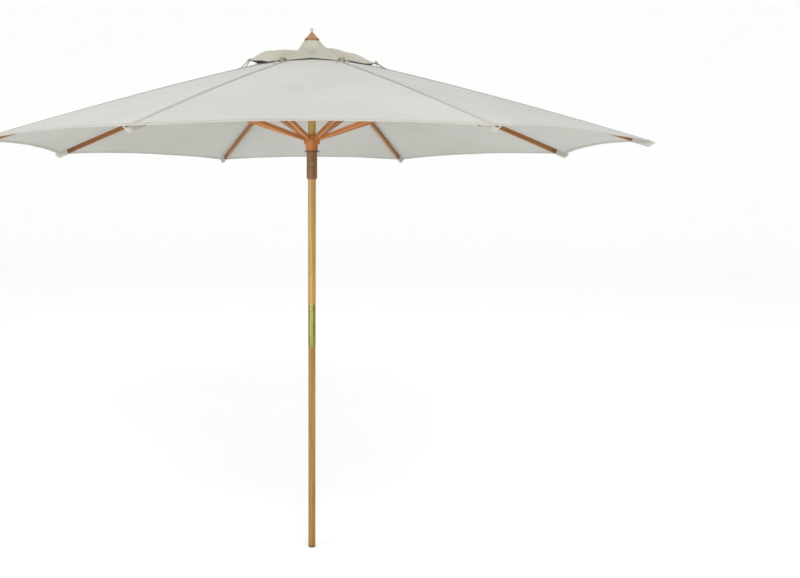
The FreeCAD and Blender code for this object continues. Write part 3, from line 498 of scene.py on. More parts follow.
def grid_faces(deep: int, wide: int, closed: bool) -> list[tuple]:
    """Faces of a grid of points, by vertex number: along an edge, across, back and across again.

    Args:
        deep: how many rows there are.
        wide: how many points a row has.
        closed: whether each row joins up into a ring.

    Returns:
        The faces, row by row.
    """
    faces = []
    for i in range(deep - 1):
        for j in range(wide if closed else wide - 1):
            k = (j + 1) % wide
            faces.append((i * wide + j, (i + 1) * wide + j, (i + 1) * wide + k, i * wide + k))
    return faces


def grid_normals(rows: list[list[Vector]], closed: bool) -> list[list[Vector]]:
    """Unit normals of a grid of points, from its neighbours along and across.

    Args:
        rows: the grid.
        closed: whether each row joins up into a ring.

    Returns:
        A normal for each point.
    """
    last, width = len(rows) - 1, len(rows[0])
    result = []
    for i, row in enumerate(rows):
        line = []
        for j in range(width):
            after = rows[i][(j + 1) % width] if closed else row[min(j + 1, width - 1)]
            before = row[j - 1] if closed else row[max(j - 1, 0)]
            ahead = rows[min(i + 1, last)][j] - rows[max(i - 1, 0)][j]
            line.append(ahead.cross(after - before).normalized())
        result.append(line)
    return result


def cloth_sheet(
    name: str,
    rows: list[list[Vector]],
    lays: list[list[Vector]],
    thickness: float,
    closed: bool = False,
) -> Piece:
    """A closed sheet of cloth whose upper face is a grid of points.

    Args:
        name: the piece's name.
        rows: the grid, whose rows go along and whose points go across.
        lays: where each point lies on the cloth.
        thickness: how far the lower face lies under the upper one.
        closed: whether each row joins up into a ring.

    Returns:
        The sheet, with crisp rims.
    """
    normals = grid_normals(rows, closed)
    deep, wide = len(rows), len(rows[0])
    count = deep * wide
    top = [p for row in rows for p in row]
    low = [p - n * thickness for row, line in zip(rows, normals) for p, n in zip(row, line)]
    faces = []
    for face in grid_faces(deep, wide, closed):
        faces += [face, tuple(v + count for v in reversed(face))]
    for j in range(wide if closed else wide - 1):
        k = (j + 1) % wide
        end = (deep - 1) * wide
        faces.append((j, k, k + count, j + count))
        faces.append((end + k, end + j, end + j + count, end + k + count))
    if not closed:
        for i in range(deep - 1):
            a, b = i * wide, (i + 1) * wide
            faces.append((b, a, a + count, b + count))
            a, b = a + wide - 1, b + wide - 1
            faces.append((a, b, b + count, a + count))
    flat = [lay for row in lays for lay in row]
    made = new_piece(name, top + low, faces, flat + flat)
    sharpen(made, 50)
    return made


def sweep(name: str, path: list[Frame], section: Section, crisp: float = 60) -> Piece:
    """A closed strip: a section carried along a path.

    Args:
        name: the piece's name.
        path: for each step, its centre and the directions of the section's two sizes.
        section: the outline, as pairs of those sizes.
        crisp: angle in degrees over which an edge stays sharp.

    Returns:
        The strip.
    """
    points, lays = [], []
    travelled = 0.0
    for step, (centre, side, up) in enumerate(path):
        if step:
            travelled += (centre - path[step - 1][0]).length
        points += [centre + side * a + up * b for a, b in section]
        lays += [Vector((a, travelled, a)) for a, _ in section]
    size = len(section)
    end = (len(path) - 1) * size
    faces = [(a, d, c, b) for a, b, c, d in grid_faces(len(path), size, True)]
    faces += [tuple(reversed(range(size))), tuple(range(end, end + size))]
    made = new_piece(name, points, faces, lays)
    recalculate(made)
    sharpen(made, crisp)
    return made


def recalculate(piece: Piece) -> None:
    """Turns a closed mesh's faces outward."""
    work = bmesh.new()
    work.from_mesh(piece.data)
    bmesh.ops.recalc_face_normals(work, faces=work.faces)
    work.to_mesh(piece.data)
    work.free()


def join(name: str, parts: list[Piece]) -> Piece:
    """One piece from several that are sewn or tied together.

    Args:
        name: the new piece's name.
        parts: the pieces, which it takes up.

    Returns:
        The piece.
    """
    work = bmesh.new()
    for part in parts:
        work.from_mesh(part.data)
    first = parts[0]
    work.to_mesh(first.data)
    work.free()
    for part in parts[1:]:
        bpy.data.objects.remove(part)
    first.name = name
    first.data.name = name
    return first


def smooth_path(points: Sequence[Vector], steps: int) -> list[Vector]:
    """Points on a smooth curve through a few chosen ones.

    Args:
        points: the chosen ones.
        steps: how many steps lie between two of them.

    Returns:
        The curve's points.
    """
    ends = [points[0] * 2 - points[1], *points, points[-1] * 2 - points[-2]]
    path = []
    for i in range(1, len(ends) - 2):
        a, b, c, d = ends[i - 1 : i + 3]
        for step in range(steps):
            t = step / steps
            bend = (2 * a - 5 * b + 4 * c - d) * t * t + (3 * b - a - 3 * c + d) * t * t * t
            path.append(b + ((c - a) * t + bend) / 2)
    return [*path, points[-1].copy()]


def tape_frames(path: list[Vector], side: Vector) -> list[Frame]:
    """Frames for a tape along a path, its width kept near a chosen side.

    Args:
        path: the tape's middle.
        side: which way its width starts.

    Returns:
        A frame for each point.
    """
    frames = []
    last = len(path) - 1
    for i, point in enumerate(path):
        ahead = (path[min(i + 1, last)] - path[max(i - 1, 0)]).normalized()
        across = (side - ahead * side.dot(ahead)).normalized()
        side = across
        frames.append((point, across, ahead.cross(across)))
    return frames


def edge_frames(
    turn: Matrix,
    steps: int,
    ends: tuple[float, float],
    edge: Callable[[float], Vector],
    inner: Callable[[float], Vector],
) -> list[Frame]:
    """Frames along a cloth's edge, inward over the cloth and up from it.

    Args:
        turn: turns the points into the umbrella's frame.
        steps: how many steps the edge is taken in.
        ends: places across where the edge starts and stops.
        edge: gives the edge's point at a place across.
        inner: gives the point a little in from the edge.

    Returns:
        A frame for each place.
    """
    start, end = ends
    half = (end - start) / steps / 2
    frames = []
    for i in range(steps + 1):
        across = mix(start, end, i / steps)
        point = edge(across)
        run = (edge(min(across + half, end)) - edge(max(across - half, start))).normalized()
        inward = inner(across) - point
        inward = (inward - run * inward.dot(run)).normalized()
        up = inward.cross(run) if inward.cross(run).z > 0 else run.cross(inward)
        frames.append((turn @ point, turn @ inward, turn @ up))
    return frames


def dress(piece: Piece, material: Material) -> None:
    """Gives a new piece of cloth its material, in its only slot, and logs it.

    Args:
        piece: the piece.
        material: its only material.
    """
    piece.data.materials.clear()
    piece.data.materials.append(material)
    log.info("%s in %s", piece.name, material.name)


# ---- canopy --------------------------------------------------------------------------------------


class Side(Enum):
    """The two sides of a rib, as one looks out from the pole."""

    RIGHT = -1
    LEFT = 1


@dataclass(frozen=True)
class CanopyShape:
    """The stretched surface of the canopy, in a rib's own frame."""

    crown_height: float
    rim_radius: float = 1.5
    ring_radius: float = 34 * MM
    rib_inset: float = 10 * MM
    rib_bow: float = 14 * MM
    rib_depth: float = 22 * MM
    slope: float = math.radians(16.8)
    lie: float = 1.8 * MM
    vent_opening: float = 95 * MM
    hem_dip: float = 29 * MM
    panel_sag: float = 12 * MM
    hem_rise: float = 9 * MM
    slack: float = 1.6 * MM

    def rib_top(self, radius: float) -> float:
        """Height of a rib's upper face at a distance from the pole."""
        span = self.rim_radius - self.rib_inset - self.ring_radius
        share = (radius - self.ring_radius) / span
        bow = 4 * self.rib_bow * share * (1 - share)
        drop = (radius - self.ring_radius) * math.tan(self.slope)
        return self.crown_height - drop + (bow + self.rib_depth / 2) / math.cos(self.slope)

    def height(self, radius: float, share: float) -> float:
        """Height of the cloth: share is 0 over a rib and 1 at the panel's middle."""
        span = (radius - self.vent_opening) / (self.rim_radius - self.vent_opening)
        span = min(max(span, 0), 1)
        sag = self.panel_sag * math.sin(math.pi * span) - self.hem_rise * span**5
        return self.rib_top(radius) + self.lie - sag * share * (2 - share)

    def hem_radius(self, share: float) -> float:
        """Radius of the scalloped hem, measured to the panel's straight chord."""
        return self.rim_radius - self.hem_dip / math.cos(HALF_PANEL) * share * (2 - share)

    def slack_at(self, number: int, point: Vector, share: float) -> float:
        """Small waves of loose cloth, none of them over a rib."""
        there = rib_turn(number) @ point
        flat = Vector((there.x, there.y, 0))
        broad = noise.noise(flat * 3.1) * 1.3
        fine = noise.noise(flat * 9.7 + Vector((4, 1, 7))) * 0.45
        away = Vector((self.rim_radius - point.x, abs(point.y)))
        drawn = math.sin(math.atan2(away.y, away.x) * 17) * math.exp(-away.length / 0.16) * 0.8
        return self.slack * (broad + fine + drawn) * ease(abs(point.y) / 0.07) * ease(1.6 - 0.6 * share)

    def point(self, number: int, along: float, across: float) -> Vector:
        """A point of the cloth's upper face.

        Args:
            number: the rib's number.
            along: 0 at the vent to 1 at the hem.
            across: -1 to 1, from one mid-panel line to the other.

        Returns:
            The point in the rib's own frame.
        """
        share = abs(across)
        radius = mix(self.vent_opening, self.hem_radius(share), along)
        inward = radius * (1 - share * math.sin(HALF_PANEL) ** 2)
        sideways = math.copysign(radius * math.sin(HALF_PANEL) * math.cos(HALF_PANEL) * share, across)
        level = Vector((inward, sideways, self.height(radius, share)))
        return level + UP * self.slack_at(number, level, share)

    def flat_length(self) -> float:
        """Length of a gore's cut along its rib."""
        return (self.rim_radius - self.vent_opening) / math.cos(self.slope)

    def flat_width(self) -> float:
        """Width of a gore's cut at the hem."""
        return 2 * self.rim_radius * math.sin(HALF_PANEL) * math.cos(HALF_PANEL)

    def flat_area(self) -> float:
        """Area of a gore's cut."""
        share = self.vent_opening / self.rim_radius
        return self.flat_width() * (1 + share) / 2 * self.flat_length()


@dataclass
class Canopy:
    """Eight gores, each of two sheets that meet over a rib, with hems and a pocket for the rib's end."""

    shape: CanopyShape
    thickness: float = CLOTH_THICKNESS
    steps_along: int = 60
    steps_across: int = 24
    hem_width: float = 23 * MM
    binding_width: float = 12 * MM
    seam_end: float = 0.988
    tape_end: float = 0.94
    seam_half: float = 8 * MM
    tape_half: float = 13 * MM
    pocket_length: float = 74 * MM
    pocket_nose: float = 15 * MM
    folded_share: float = 0.05

    def shares(self, side: Side) -> list[float]:
        """Places across half a gore, closer together beside the rib and at the mid-panel line."""
        result = []
        for step in range(self.steps_across + 1):
            plain = step / self.steps_across + min(side.value, 0)
            result.append(plain - 0.06 * math.sin(math.tau * plain))
        return result

    def gore(self, number: int, side: Side) -> Piece:
        """The cloth on one side of a rib, out to the mid-panel line."""
        turn = rib_turn(number)
        rows, lays = [], []
        for i in range(self.steps_along + 1):
            along = i / self.steps_along
            own = [self.shape.point(number, along, across) for across in self.shares(side)]
            rows.append([turn @ p for p in own])
            inward = (1 - along) * self.shape.flat_length()
            lays.append([Vector((p.y, along * self.shape.flat_length(), inward)) for p in own])
        return cloth_sheet(f"canopy_cloth_{number}_{side.name.lower()}", rows, lays, self.thickness)

    def gather(self, piece: Piece, number: int, side: Side) -> None:
        """Works out which way a piece would draw in across its half of the gore, towards the rib, but moves
        nothing: it only gives the piece its own mesh.

        Args:
            piece: a sheet or a strip of the canopy.
            number: the rib's number.
            side: the side of the rib that it is on.
        """
        corner, middle = self.shape.point(number, 1.0, 0), self.shape.point(number, 1.0, side.value)
        seam = (corner - self.shape.point(number, 0.0, 0)).normalized()
        across = middle - corner
        across -= seam * across.dot(seam)
        turn = rib_turn(number)
        turn @ across
        turn @ corner
        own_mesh(piece)

    def rib_line(self, number: int, end: float, steps: int) -> list[Frame]:
        """Frames along a rib's seam from the vent, across and up from the cloth."""
        points = [self.shape.point(number, end * i / steps, 0) for i in range(steps + 1)]
        side = Vector((0, 1, 0))
        turn = rib_turn(number)
        frames = []
        for i, point in enumerate(points):
            ahead = (points[min(i + 1, steps)] - points[max(i - 1, 0)]).normalized()
            frames.append((turn @ point, turn @ side, turn @ ahead.cross(side)))
        return frames

    def seam(self, number: int) -> Piece:
        """The felled seam that shows on top, over the rib."""
        w = self.seam_half
        section = [(-w, -0.3 * MM), (-w + 1.2 * MM, 0.55 * MM), (-w / 2, 0.85 * MM), (0, 1.15 * MM)]
        section += [(w / 2, 0.85 * MM), (w - 1.2 * MM, 0.55 * MM), (w, -0.3 * MM)]
        return sweep(f"rib_seam_{number}", self.rib_line(number, self.seam_end, 70), section, 80)

    def tape(self, number: int) -> Piece:
        """The seam allowance, turned flat under the cloth on both sides of the rib."""
        w, low = self.tape_half, -self.thickness
        section = [(-w, low + 0.3 * MM), (-w, low - 0.5 * MM), (-w + 1 * MM, low - 0.8 * MM)]
        section += [(w - 1 * MM, low - 0.8 * MM), (w, low - 0.5 * MM), (w, low + 0.3 * MM)]
        return sweep(f"seam_allowance_{number}", self.rib_line(number, self.tape_end, 60), section, 80)

    def edge_line(self, number: int, side: Side, along: float, steps: int) -> list[Frame]:
        """Frames along half the hem or the vent's edge, inward over the cloth and up from it.

        Args:
            number: the rib's number.
            side: the side of the rib.
            along: 0 for the vent's edge or 1 for the hem.
            steps: how many steps it is taken in.

        Returns:
            A frame for each place.
        """
        start = min(side.value, 0)
        inside = along - 0.01 if along > 0.5 else along + 0.01
        edge = partial(self.shape.point, number, along)
        inner = partial(self.shape.point, number, inside)
        return edge_frames(rib_turn(number), steps, (start, start + 1), edge, inner)

    def hem_section(self, width: float) -> Section:
        """Outline of a doubled hem that wraps the cloth's edge."""
        low, shy = -self.thickness, width - 0.8 * MM
        over = [(width, -0.2 * MM), (shy, 0.8 * MM), (1.6 * MM, 0.8 * MM), (0.2 * MM, 0.4 * MM)]
        under = [(-0.5 * MM, low / 2), (0.2 * MM, low - 0.4 * MM), (1.6 * MM, low - 0.8 * MM)]
        return [*over, *under, (shy, low - 0.8 * MM), (width, low + 0.2 * MM)]

    def hem(self, number: int, side: Side) -> Piece:
        """The doubled hem along half of the gore's scalloped edge."""
        line = self.edge_line(number, side, 1.0, 32)
        return sweep(f"hem_{number}_{side.name.lower()}", line, self.hem_section(self.hem_width), 70)

    def vent_binding(self, number: int, side: Side) -> Piece:
        """The binding along half of the gore's edge at the vent, under the cap."""
        line = self.edge_line(number, side, 0.0, 8)
        section = self.hem_section(self.binding_width)
        return sweep(f"vent_binding_{number}_{side.name.lower()}", line, section, 70)

    def pocket(self, number: int) -> Piece:
        """The pocket sewn under the corner, which takes the rib's end and closes past it."""
        turn = rib_turn(number)
        tip = self.shape.point(number, 1.0, 0)
        back = self.shape.point(number, 0.95, 0)
        out = (tip - back).normalized()
        up = Vector((-out.z, 0, out.x))
        wall = self.shape.rib_depth / 2
        rows, lays = [], []
        lengths = [self.pocket_length * (1 - s) for s in (0, 0.04, 0.1, 0.25, 0.4, 0.55, 0.7, 0.8, 0.88)]
        stations = [-length for length in lengths] + [-4 * MM, 2 * MM, 7 * MM, self.pocket_nose]
        for place in stations:
            closing = ease((place + 6 * MM) / (6 * MM + self.pocket_nose))
            flare = 0.6 * MM * hump(place + self.pocket_length, 9 * MM)
            half = mix(8.9 * MM, 4.5 * MM, closing) + flare
            deep = mix(2 * wall + 1.9 * MM, 1.2 * MM, closing) + flare
            flange = mix(9 * MM, 4.0 * MM, closing)
            outline = [(-half - flange, 0.3 * MM), (-half - 2 * MM, 0.5 * MM), (-half, 3 * MM)]
            outline += [(-half, 0.55 * deep), (-half + 1 * MM, 0.85 * deep), (-half + 4 * MM, deep)]
            outline += [(0, deep + 0.6 * MM)]
            outline += [(-a, b) for a, b in reversed(outline[:-1])]
            level = tip + out * place - up * self.thickness
            row = [turn @ (level + Vector((0, a, 0)) - up * min(b, deep + 1 * MM)) for a, b in outline]
            rows.append(row)
            lays.append([Vector((a, place, b)) for a, b in outline])
        made = cloth_sheet(f"corner_pocket_{number}", rows, lays, 1.0 * MM)
        soften = made.modifiers.new("soft", "SUBSURF")
        soften.levels = soften.render_levels = 1
        return made

    def build(self, cloth: Material, seam: Material, hem: Material) -> None:
        """Makes, dresses and mounts all the canopy's pieces.

        Args:
            cloth: the gores' canvas.
            seam: the canvas of seams and pockets.
            hem: the canvas of hems and bindings.
        """
        flat = (self.shape.flat_width() / 2, self.shape.flat_length())
        area = self.shape.flat_area() / 2
        for number in range(1, RIBS + 1):
            rib = f"rib_{number}"
            extra = [self.seam(number), self.tape(number), self.pocket(number)]
            for piece in extra:
                dress(piece, seam)
                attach(piece, rib)
            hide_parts(f"rib_pocket_{number}")
            for side in Side:
                gore = self.gore(number, side)
                edges = [self.hem(number, side), self.vent_binding(number, side)]
                dress(gore, cloth)
                for piece in edges:
                    dress(piece, hem)
                for piece in (gore, *edges):
                    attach(piece, rib)
                    self.gather(piece, number, side)
                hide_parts(f"canopy_gore_{number}")
                extra = []
        log.info("canopy ready")


# ---- vent cap ------------------------------------------------------------------------------------


# The two creases on each side of a wing's ridge: ranges of turn, and of height and width in millimetres.
CREASE_RANGES = (((0.26, 0.4), (4.0, 6.5), (6, 9)), ((0.6, 0.75), (2.0, 4.5), (7, 11)))


@dataclass
class VentCap:
    """The eight-pointed cap over the vent, gathered under the finial and tied to the ribs at its points."""

    canopy: CanopyShape
    top: float
    flat: float = 28 * MM
    collar: float = 46 * MM
    shoulder: float = 74 * MM
    throat_drop: float = 15 * MM
    valley_drop: float = 12 * MM
    tuck: float = 14 * MM
    tuck_radius: float = 96 * MM
    tuck_width: float = 26 * MM
    notch_radius: float = 232 * MM
    shoulder_drops: tuple[float, ...] = (0.047, 0.050, 0.055, 0.059, 0.059, 0.055, 0.050, 0.047)
    lifts: tuple[float, ...] = (0.014, 0.022, 0.024, 0.026, 0.022, 0.004, 0.004, 0.009)
    reaches: tuple[float, ...] = (0.316, 0.322, 0.318, 0.308, 0.304, 0.322, 0.325, 0.312)
    hold_ups: tuple[float, ...] = (1.3, 1.1, 1.2, 8.0, 4.0, 1.3, 1.2, 1.4)
    rest: float = 1.5 * MM
    root: float = 33 * MM
    inner: float = 60 * MM
    middle_edge: float = 79 * MM
    lie: float = 1.6 * MM
    clearance: float = 2.8 * MM
    belly: float = 6 * MM
    flutter: float = 2.2 * MM
    pleat_height: float = 1.9 * MM
    pleat_reach: float = 24 * MM
    thickness: float = CLOTH_THICKNESS
    folded_share: float = 0.25
    pleats: int = 24
    points_per_pleat: int = 6
    steps: int = 44
    tape_half: float = 3.2 * MM
    tape_thickness: float = 0.8 * MM
    seed: int = 11

    def edge(self, number: int, turned: float) -> float:
        """Radius of the cap's edge: turned is 0 at a wing's point and 1 at a notch."""
        return self.notch_radius + (self.reaches[number - 1] - self.notch_radius) * (1 - turned) ** 1.6

    def cone(self, radius: float) -> float:
        """Height of the gathered middle, out to its collar."""
        out = min(max((radius - self.flat) / (self.collar - self.flat), 0), 1)
        return self.top - self.throat_drop * out**1.4

    def shoulder_height(self, number: int, across: float) -> float:
        """Height at which a wing leaves the gathers, level with its neighbour's at their shared notch.

        Args:
            number: the rib's number.
            across: -1 to 1, from one notch to the other.

        Returns:
            The height.
        """
        beside = (number - 1 + (1 if across > 0 else -1)) % RIBS
        own = self.shoulder_drops[number - 1]
        drop = mix(own, (own + self.shoulder_drops[beside]) / 2, ease(abs(across)))
        return self.top - drop - self.valley_drop * ease(abs(across))

    def base(self, number: int, radius: float, across: float) -> float:
        """Height of the cap without its folds.

        Args:
            number: the rib's number.
            radius: distance from the pole.
            across: -1 to 1, from one notch to the other.

        Returns:
            The height.
        """
        if radius <= self.collar:
            return self.cone(radius)
        turned = abs(across)
        step = self.shoulder_height(number, across)
        if radius <= self.shoulder:
            run = (radius - self.collar) / (self.shoulder - self.collar)
            return mix(self.top - self.throat_drop, step, run**0.85)
        share = (radius - self.shoulder) / (self.edge(number, turned) - self.shoulder)
        ridge_end = self.canopy.height(self.reaches[number - 1], 0) + self.lifts[number - 1]
        valley_end = self.canopy.height(self.notch_radius / math.cos(HALF_PANEL), 1) + self.rest
        fall = mix(share ** self.hold_ups[number - 1], share, ease(turned))
        tucked = self.tuck * hump(radius - self.tuck_radius, self.tuck_width) * ease(turned * 4 - 3)
        return mix(step, mix(ridge_end, valley_end, ease(turned)), fall) - tucked

    def creases(self, number: int) -> list[tuple[float, float, float]]:
        """Folds that fan from a wing's point to the gathers: turn, height and width of each."""
        draw = random.Random(self.seed + number)
        folds = [(draw.uniform(-0.06, 0.06), 9 * MM, 7 * MM)]
        for side in (-1, 1):
            for turn, rise, width in CREASE_RANGES:
                aside = side * draw.uniform(*turn)
                folds.append((aside, draw.uniform(*rise) * MM, draw.uniform(*width) * MM))
        return folds

    def wing_point(self, number: int, folds: list[tuple], along: float, across: float) -> Vector:
        """A point of a wing's upper face: along 0 under the gathers to 1 at the edge, across -1 to 1."""
        radius = mix(self.inner, self.edge(number, abs(across)), along)
        return self.cover_point(number, folds, radius, across)

    def cover_point(self, number: int, folds: list[tuple], radius: float, across: float) -> Vector:
        """A point of the cap's upper face in a rib's own frame, at a distance from the pole.

        Args:
            number: the rib's number.
            folds: the wing's creases.
            radius: distance from the pole.
            across: -1 to 1, from one notch to the other.

        Returns:
            The point.
        """
        turned = abs(across)
        along = (radius - self.root) / (self.edge(number, turned) - self.root)
        angle = across * HALF_PANEL
        height = self.base(number, radius, across) + self.lie
        spread = (1 - along) ** 0.6
        for turn, rise, width in folds:
            gap = (across - turn * spread) * HALF_PANEL * radius
            fade = ease(along * 4) * (1 - ease(turned * 3 - 2)) * (1 - 0.85 * ease(along * 3 - 2))
            height += rise * hump(gap, width) * fade
        belly = self.belly * noise.noise(Vector((radius * 14, across * 1.7, number * 3.7)))
        height += belly * ease(along * 3 - 0.5) * (1 - turned**4) * ease(2.2 - 2 * along)
        flutter = self.flutter * math.sin(across * 9 + number)
        height += flutter * ease(along * 2 - 1) * ease(turned * 3) * (1 - turned**2)
        pleat = self.pleat_height * math.cos(angle * self.pleats)
        height += pleat * hump(radius - self.collar, self.pleat_reach)
        height = max(height, self.canopy.height(radius, turned) + self.clearance)
        return Vector((radius * math.cos(angle), radius * math.sin(angle), height))

    def wing(self, number: int) -> Piece:
        """The cap's cloth over one rib, from the finial to its tied point."""
        turn, folds = rib_turn(number), self.creases(number)
        rows, lays = [], []
        shares = [i / self.steps for i in range(self.steps + 1)]
        for along in shares:
            own = [self.wing_point(number, folds, along, 2 * share - 1) for share in shares]
            rows.append([turn @ p for p in own])
            lays.append([Vector((p.y, p.x, p.x)) for p in own])
        return cloth_sheet(f"vent_wing_{number}", rows, lays, self.thickness)

    def wing_hem(self, number: int) -> Piece:
        """The rolled hem along a wing's edge."""
        folds = self.creases(number)
        edge = partial(self.wing_point, number, folds, 1.0)
        inner = partial(self.wing_point, number, folds, 0.97)
        frames = edge_frames(rib_turn(number), 64, (-1, 1), edge, inner)
        low = -self.thickness
        section = [(7 * MM, -0.2 * MM), (6 * MM, 0.8 * MM), (1.5 * MM, 1.0 * MM), (-0.2 * MM, 0.5 * MM)]
        section += [(-0.8 * MM, low / 2), (-0.2 * MM, low - 0.5 * MM), (1.5 * MM, low - 1.0 * MM)]
        section += [(6 * MM, low - 0.8 * MM), (7 * MM, low + 0.2 * MM)]
        return sweep(f"wing_hem_{number}", frames, section, 70)

    def gathers(self) -> Piece:
        """The pleated middle of the cap, clamped under the finial and lapped over the wings."""
        radii = [7.2 * MM, 16 * MM, self.flat, 31 * MM, 36 * MM, 41 * MM, self.collar]
        radii += [51 * MM, 56 * MM, 61 * MM, 66 * MM, 71 * MM, 75 * MM, self.middle_edge]
        creases = {number: self.creases(number) for number in range(1, RIBS + 1)}
        around = self.pleats * self.points_per_pleat
        over = self.thickness + 0.3 * MM
        rows, lays = [], []
        for radius in radii:
            row, lay = [], []
            for j in range(around):
                angle = math.tau * j / around
                number = int(angle / RIB_STEP) + 1
                across = min(max((angle - azimuth(number)) / HALF_PANEL, -1), 1)
                point = rib_turn(number) @ self.cover_point(number, creases[number], radius, across)
                clamped = self.top - 1.2 * MM * ease((radius - self.flat) / (6 * MM))
                point.z = clamped if radius <= self.flat else min(point.z + over, clamped)
                row.append(point)
                lay.append(Vector((angle * radius, radius, radius)))
            rows.append(row)
            lays.append(lay)
        return cloth_sheet("vent_gathers", rows, lays, self.thickness, closed=True)

    def hold(self, tip: Vector, knot: Vector, seat: Vector, side: int) -> list[Vector]:
        """Chosen points of the tape from a wing's point, through its knot, to the rib.

        Args:
            tip: the wing's point.
            knot: the knot's middle.
            seat: where the tape meets the rib.
            side: -1 or 1, for the tape's two runs.

        Returns:
            The points.
        """
        aside = Vector((0, side * 3.5 * MM, 0))
        neck = tip + Vector((-16 * MM, side * 4 * MM, 0))
        down = knot + (seat - knot) * 0.5 + aside * 0.8
        return [neck, knot + aside * 0.4, down, seat + aside * 0.4 + UP * 1.6 * MM]

    def tail(self, draw: random.Random, knot: Vector, side: int) -> list[Vector]:
        """Chosen points of a tape's loose end, from the knot down on to the canopy.

        Args:
            draw: the tie's random draws.
            knot: the knot's middle.
            side: -1 or 1.

        Returns:
            The points.
        """
        swing = draw.uniform(0.2, 1.1) * side
        out = Vector((math.cos(swing), math.sin(swing), 0))
        long = draw.uniform(38, 62) * MM
        points = []
        for share in (0.0, 0.35, 0.75, 1.0):
            spot = knot + out * long * share + Vector((0, side * 6 * MM * math.sin(share * 5), 0))
            ground = self.canopy.height(spot.x, min(abs(spot.y) / (spot.x * 0.38), 1)) + 2.4 * MM
            spot.z = mix(knot.z + 3 * MM * (1 - share), ground, ease(share * 1.5))
            points.append(spot)
        return points

    def bow(self, draw: random.Random, knot: Vector, side: int) -> list[Vector]:
        """Chosen points of one loop of the bow, out from the knot and back.

        Args:
            draw: the tie's random draws.
            knot: the knot's middle.
            side: -1 or 1.

        Returns:
            The points.
        """
        turn = draw.uniform(1.2, 2.0) * side
        lie = Vector((math.cos(turn), math.sin(turn), 0.15))
        lift = UP * 5 * MM
        across = lie.cross(UP).normalized() * 6 * MM
        far = draw.uniform(14, 21) * MM
        half = knot + lie * far * 0.6
        return [knot, half + across + lift, knot + lie * far + lift * 0.4, half - across, knot + UP * MM]

    def tie(self, number: int) -> Piece:
        """The tape that ties a point down to its rib, with a knot, a bow and two tails."""
        draw = random.Random(self.seed * 7 + number)
        rise = self.lifts[number - 1]
        tip = self.wing_point(number, self.creases(number), 1.0, 0)
        seat = Vector((tip.x + 8 * MM + 0.7 * rise, 0, 0))
        seat.z = self.canopy.height(seat.x, 0)
        knot = tip + Vector((6 * MM, 0, -min(4 * MM, rise * 0.4)))
        paths = [self.hold(tip, knot, seat, side) for side in (-1, 1)]
        for side in (-1, 1):
            paths += [self.tail(draw, knot, side), self.bow(draw, knot, side)]
        width, thick = self.tape_half, self.tape_thickness / 2
        section = [(-width, -thick), (width, -thick), (width, thick), (-width, thick)]
        turned = rib_turn(number)
        strips = []
        for index, points in enumerate(paths):
            path = [turned @ p for p in smooth_path(points, 7)]
            frames = tape_frames(path, UP if index > 1 else tangent(number))
            strips.append(sweep(f"tape_{number}_{index}", frames, section, 40))
        strips.append(self.knot(number, turned @ knot))
        return join(f"vent_tie_{number}", strips)

    def knot(self, number: int, centre: Vector) -> Piece:
        """The overhand knot of a tie."""
        size, thick, steps, corners = 3.2 * MM, 2.1 * MM, 54, 8
        turn = Matrix.Rotation(azimuth(number) + number, 3, "Z") @ Matrix.Rotation(0.6, 3, "X")
        points = []
        for i in range(steps + 1):
            t = math.tau * i / steps
            x = math.sin(t) + 2 * math.sin(2 * t)
            y = math.cos(t) - 2 * math.cos(2 * t)
            points.append(centre + turn @ Vector((x, y, -1.6 * math.sin(3 * t))) * size * 0.55)
        angles = [a * math.tau / corners for a in range(corners)]
        section = [(thick * math.cos(a), thick * 0.7 * math.sin(a)) for a in angles]
        return sweep(f"knot_{number}", tape_frames(points, UP), section, 80)

    def build(self, cloth: Material, hem: Material, tape: Material) -> None:
        """Makes, dresses and mounts the cap's pieces.

        Args:
            cloth: the cap's canvas.
            hem: the wing hems' canvas.
            tape: the ties' tape.
        """
        middle = self.gathers()
        dress(middle, cloth)
        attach(middle, "upper_pole")
        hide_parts("vent_cap")
        for number in range(1, RIBS + 1):
            wing, edge, tie = self.wing(number), self.wing_hem(number), self.tie(number)
            rib = f"rib_{number}"
            anchor = rib_turn(number) @ Vector((1, 0, 0))
            for piece, material in ((wing, cloth), (edge, hem), (tie, tape)):
                dress(piece, material)
                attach(piece, rib)
                tangent(number)
                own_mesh(piece)
        log.info("vent cap ready")


# ---- wood and metal ------------------------------------------------------------------------------


STEEL = Metal("steel", linear(160, 160, 158), linear(120, 118, 114), 0.36, 150.0)

# Each finish with the CAD pieces that get it; a name that ends in _ stands for all that start with it.
WOOD_AND_METAL = {
    OiledWood("upper_pole_wood", linear(188, 151, 81), linear(150, 109, 49)): ("upper_pole",),
    OiledWood("lower_pole_wood", linear(151, 119, 42), linear(115, 81, 22)): ("lower_pole",),
    OiledWood("hub_wood", linear(194, 120, 52), linear(146, 78, 26), gloss=0.5): (
        "crown_hub", "runner_hub",
    ),
    # The sleeve's wood is darker and duller than the hub's: partly its own darker tone, partly painted
    # shade below the hub.
    OiledWood("sleeve_wood", linear(141, 94, 57), linear(97, 62, 36), gloss=0.5): ("runner_sleeve",),
    OiledWood("finial_wood", linear(158, 114, 62), linear(124, 78, 36), gloss=0.4): ("finial",),
    # The brass colour and its tarnish are set darker and more olive than clean brass: painted reflection of
    # dark surroundings that the pale studio lacks. The tarnish smudges themselves are the metal's own.
    Metal("brass", linear(128, 124, 66), linear(76, 72, 30), 0.24): (
        "pole_ferrule", "ferrule_nails", "finial_eye", "lock_screw", "strut_bracket_",
    ),
    OiledWood("strut_wood", linear(192, 124, 60), linear(142, 82, 32), Grain.OUTWARD, 0.3276): ("strut_",),
    OiledWood(
        "rib_wood", linear(163, 108, 52), linear(119, 70, 29), Grain.OUTWARD, -0.3019, (1.35, 1.42),
        linear(84, 56, 36),
    ): ("rib_",),
    Moulding("dark_flange", linear(62, 48, 38), 0.5): ("runner_washer",),
    Moulding("foot_plastic", linear(44, 38, 34), 0.6): ("foot_cap",),
}


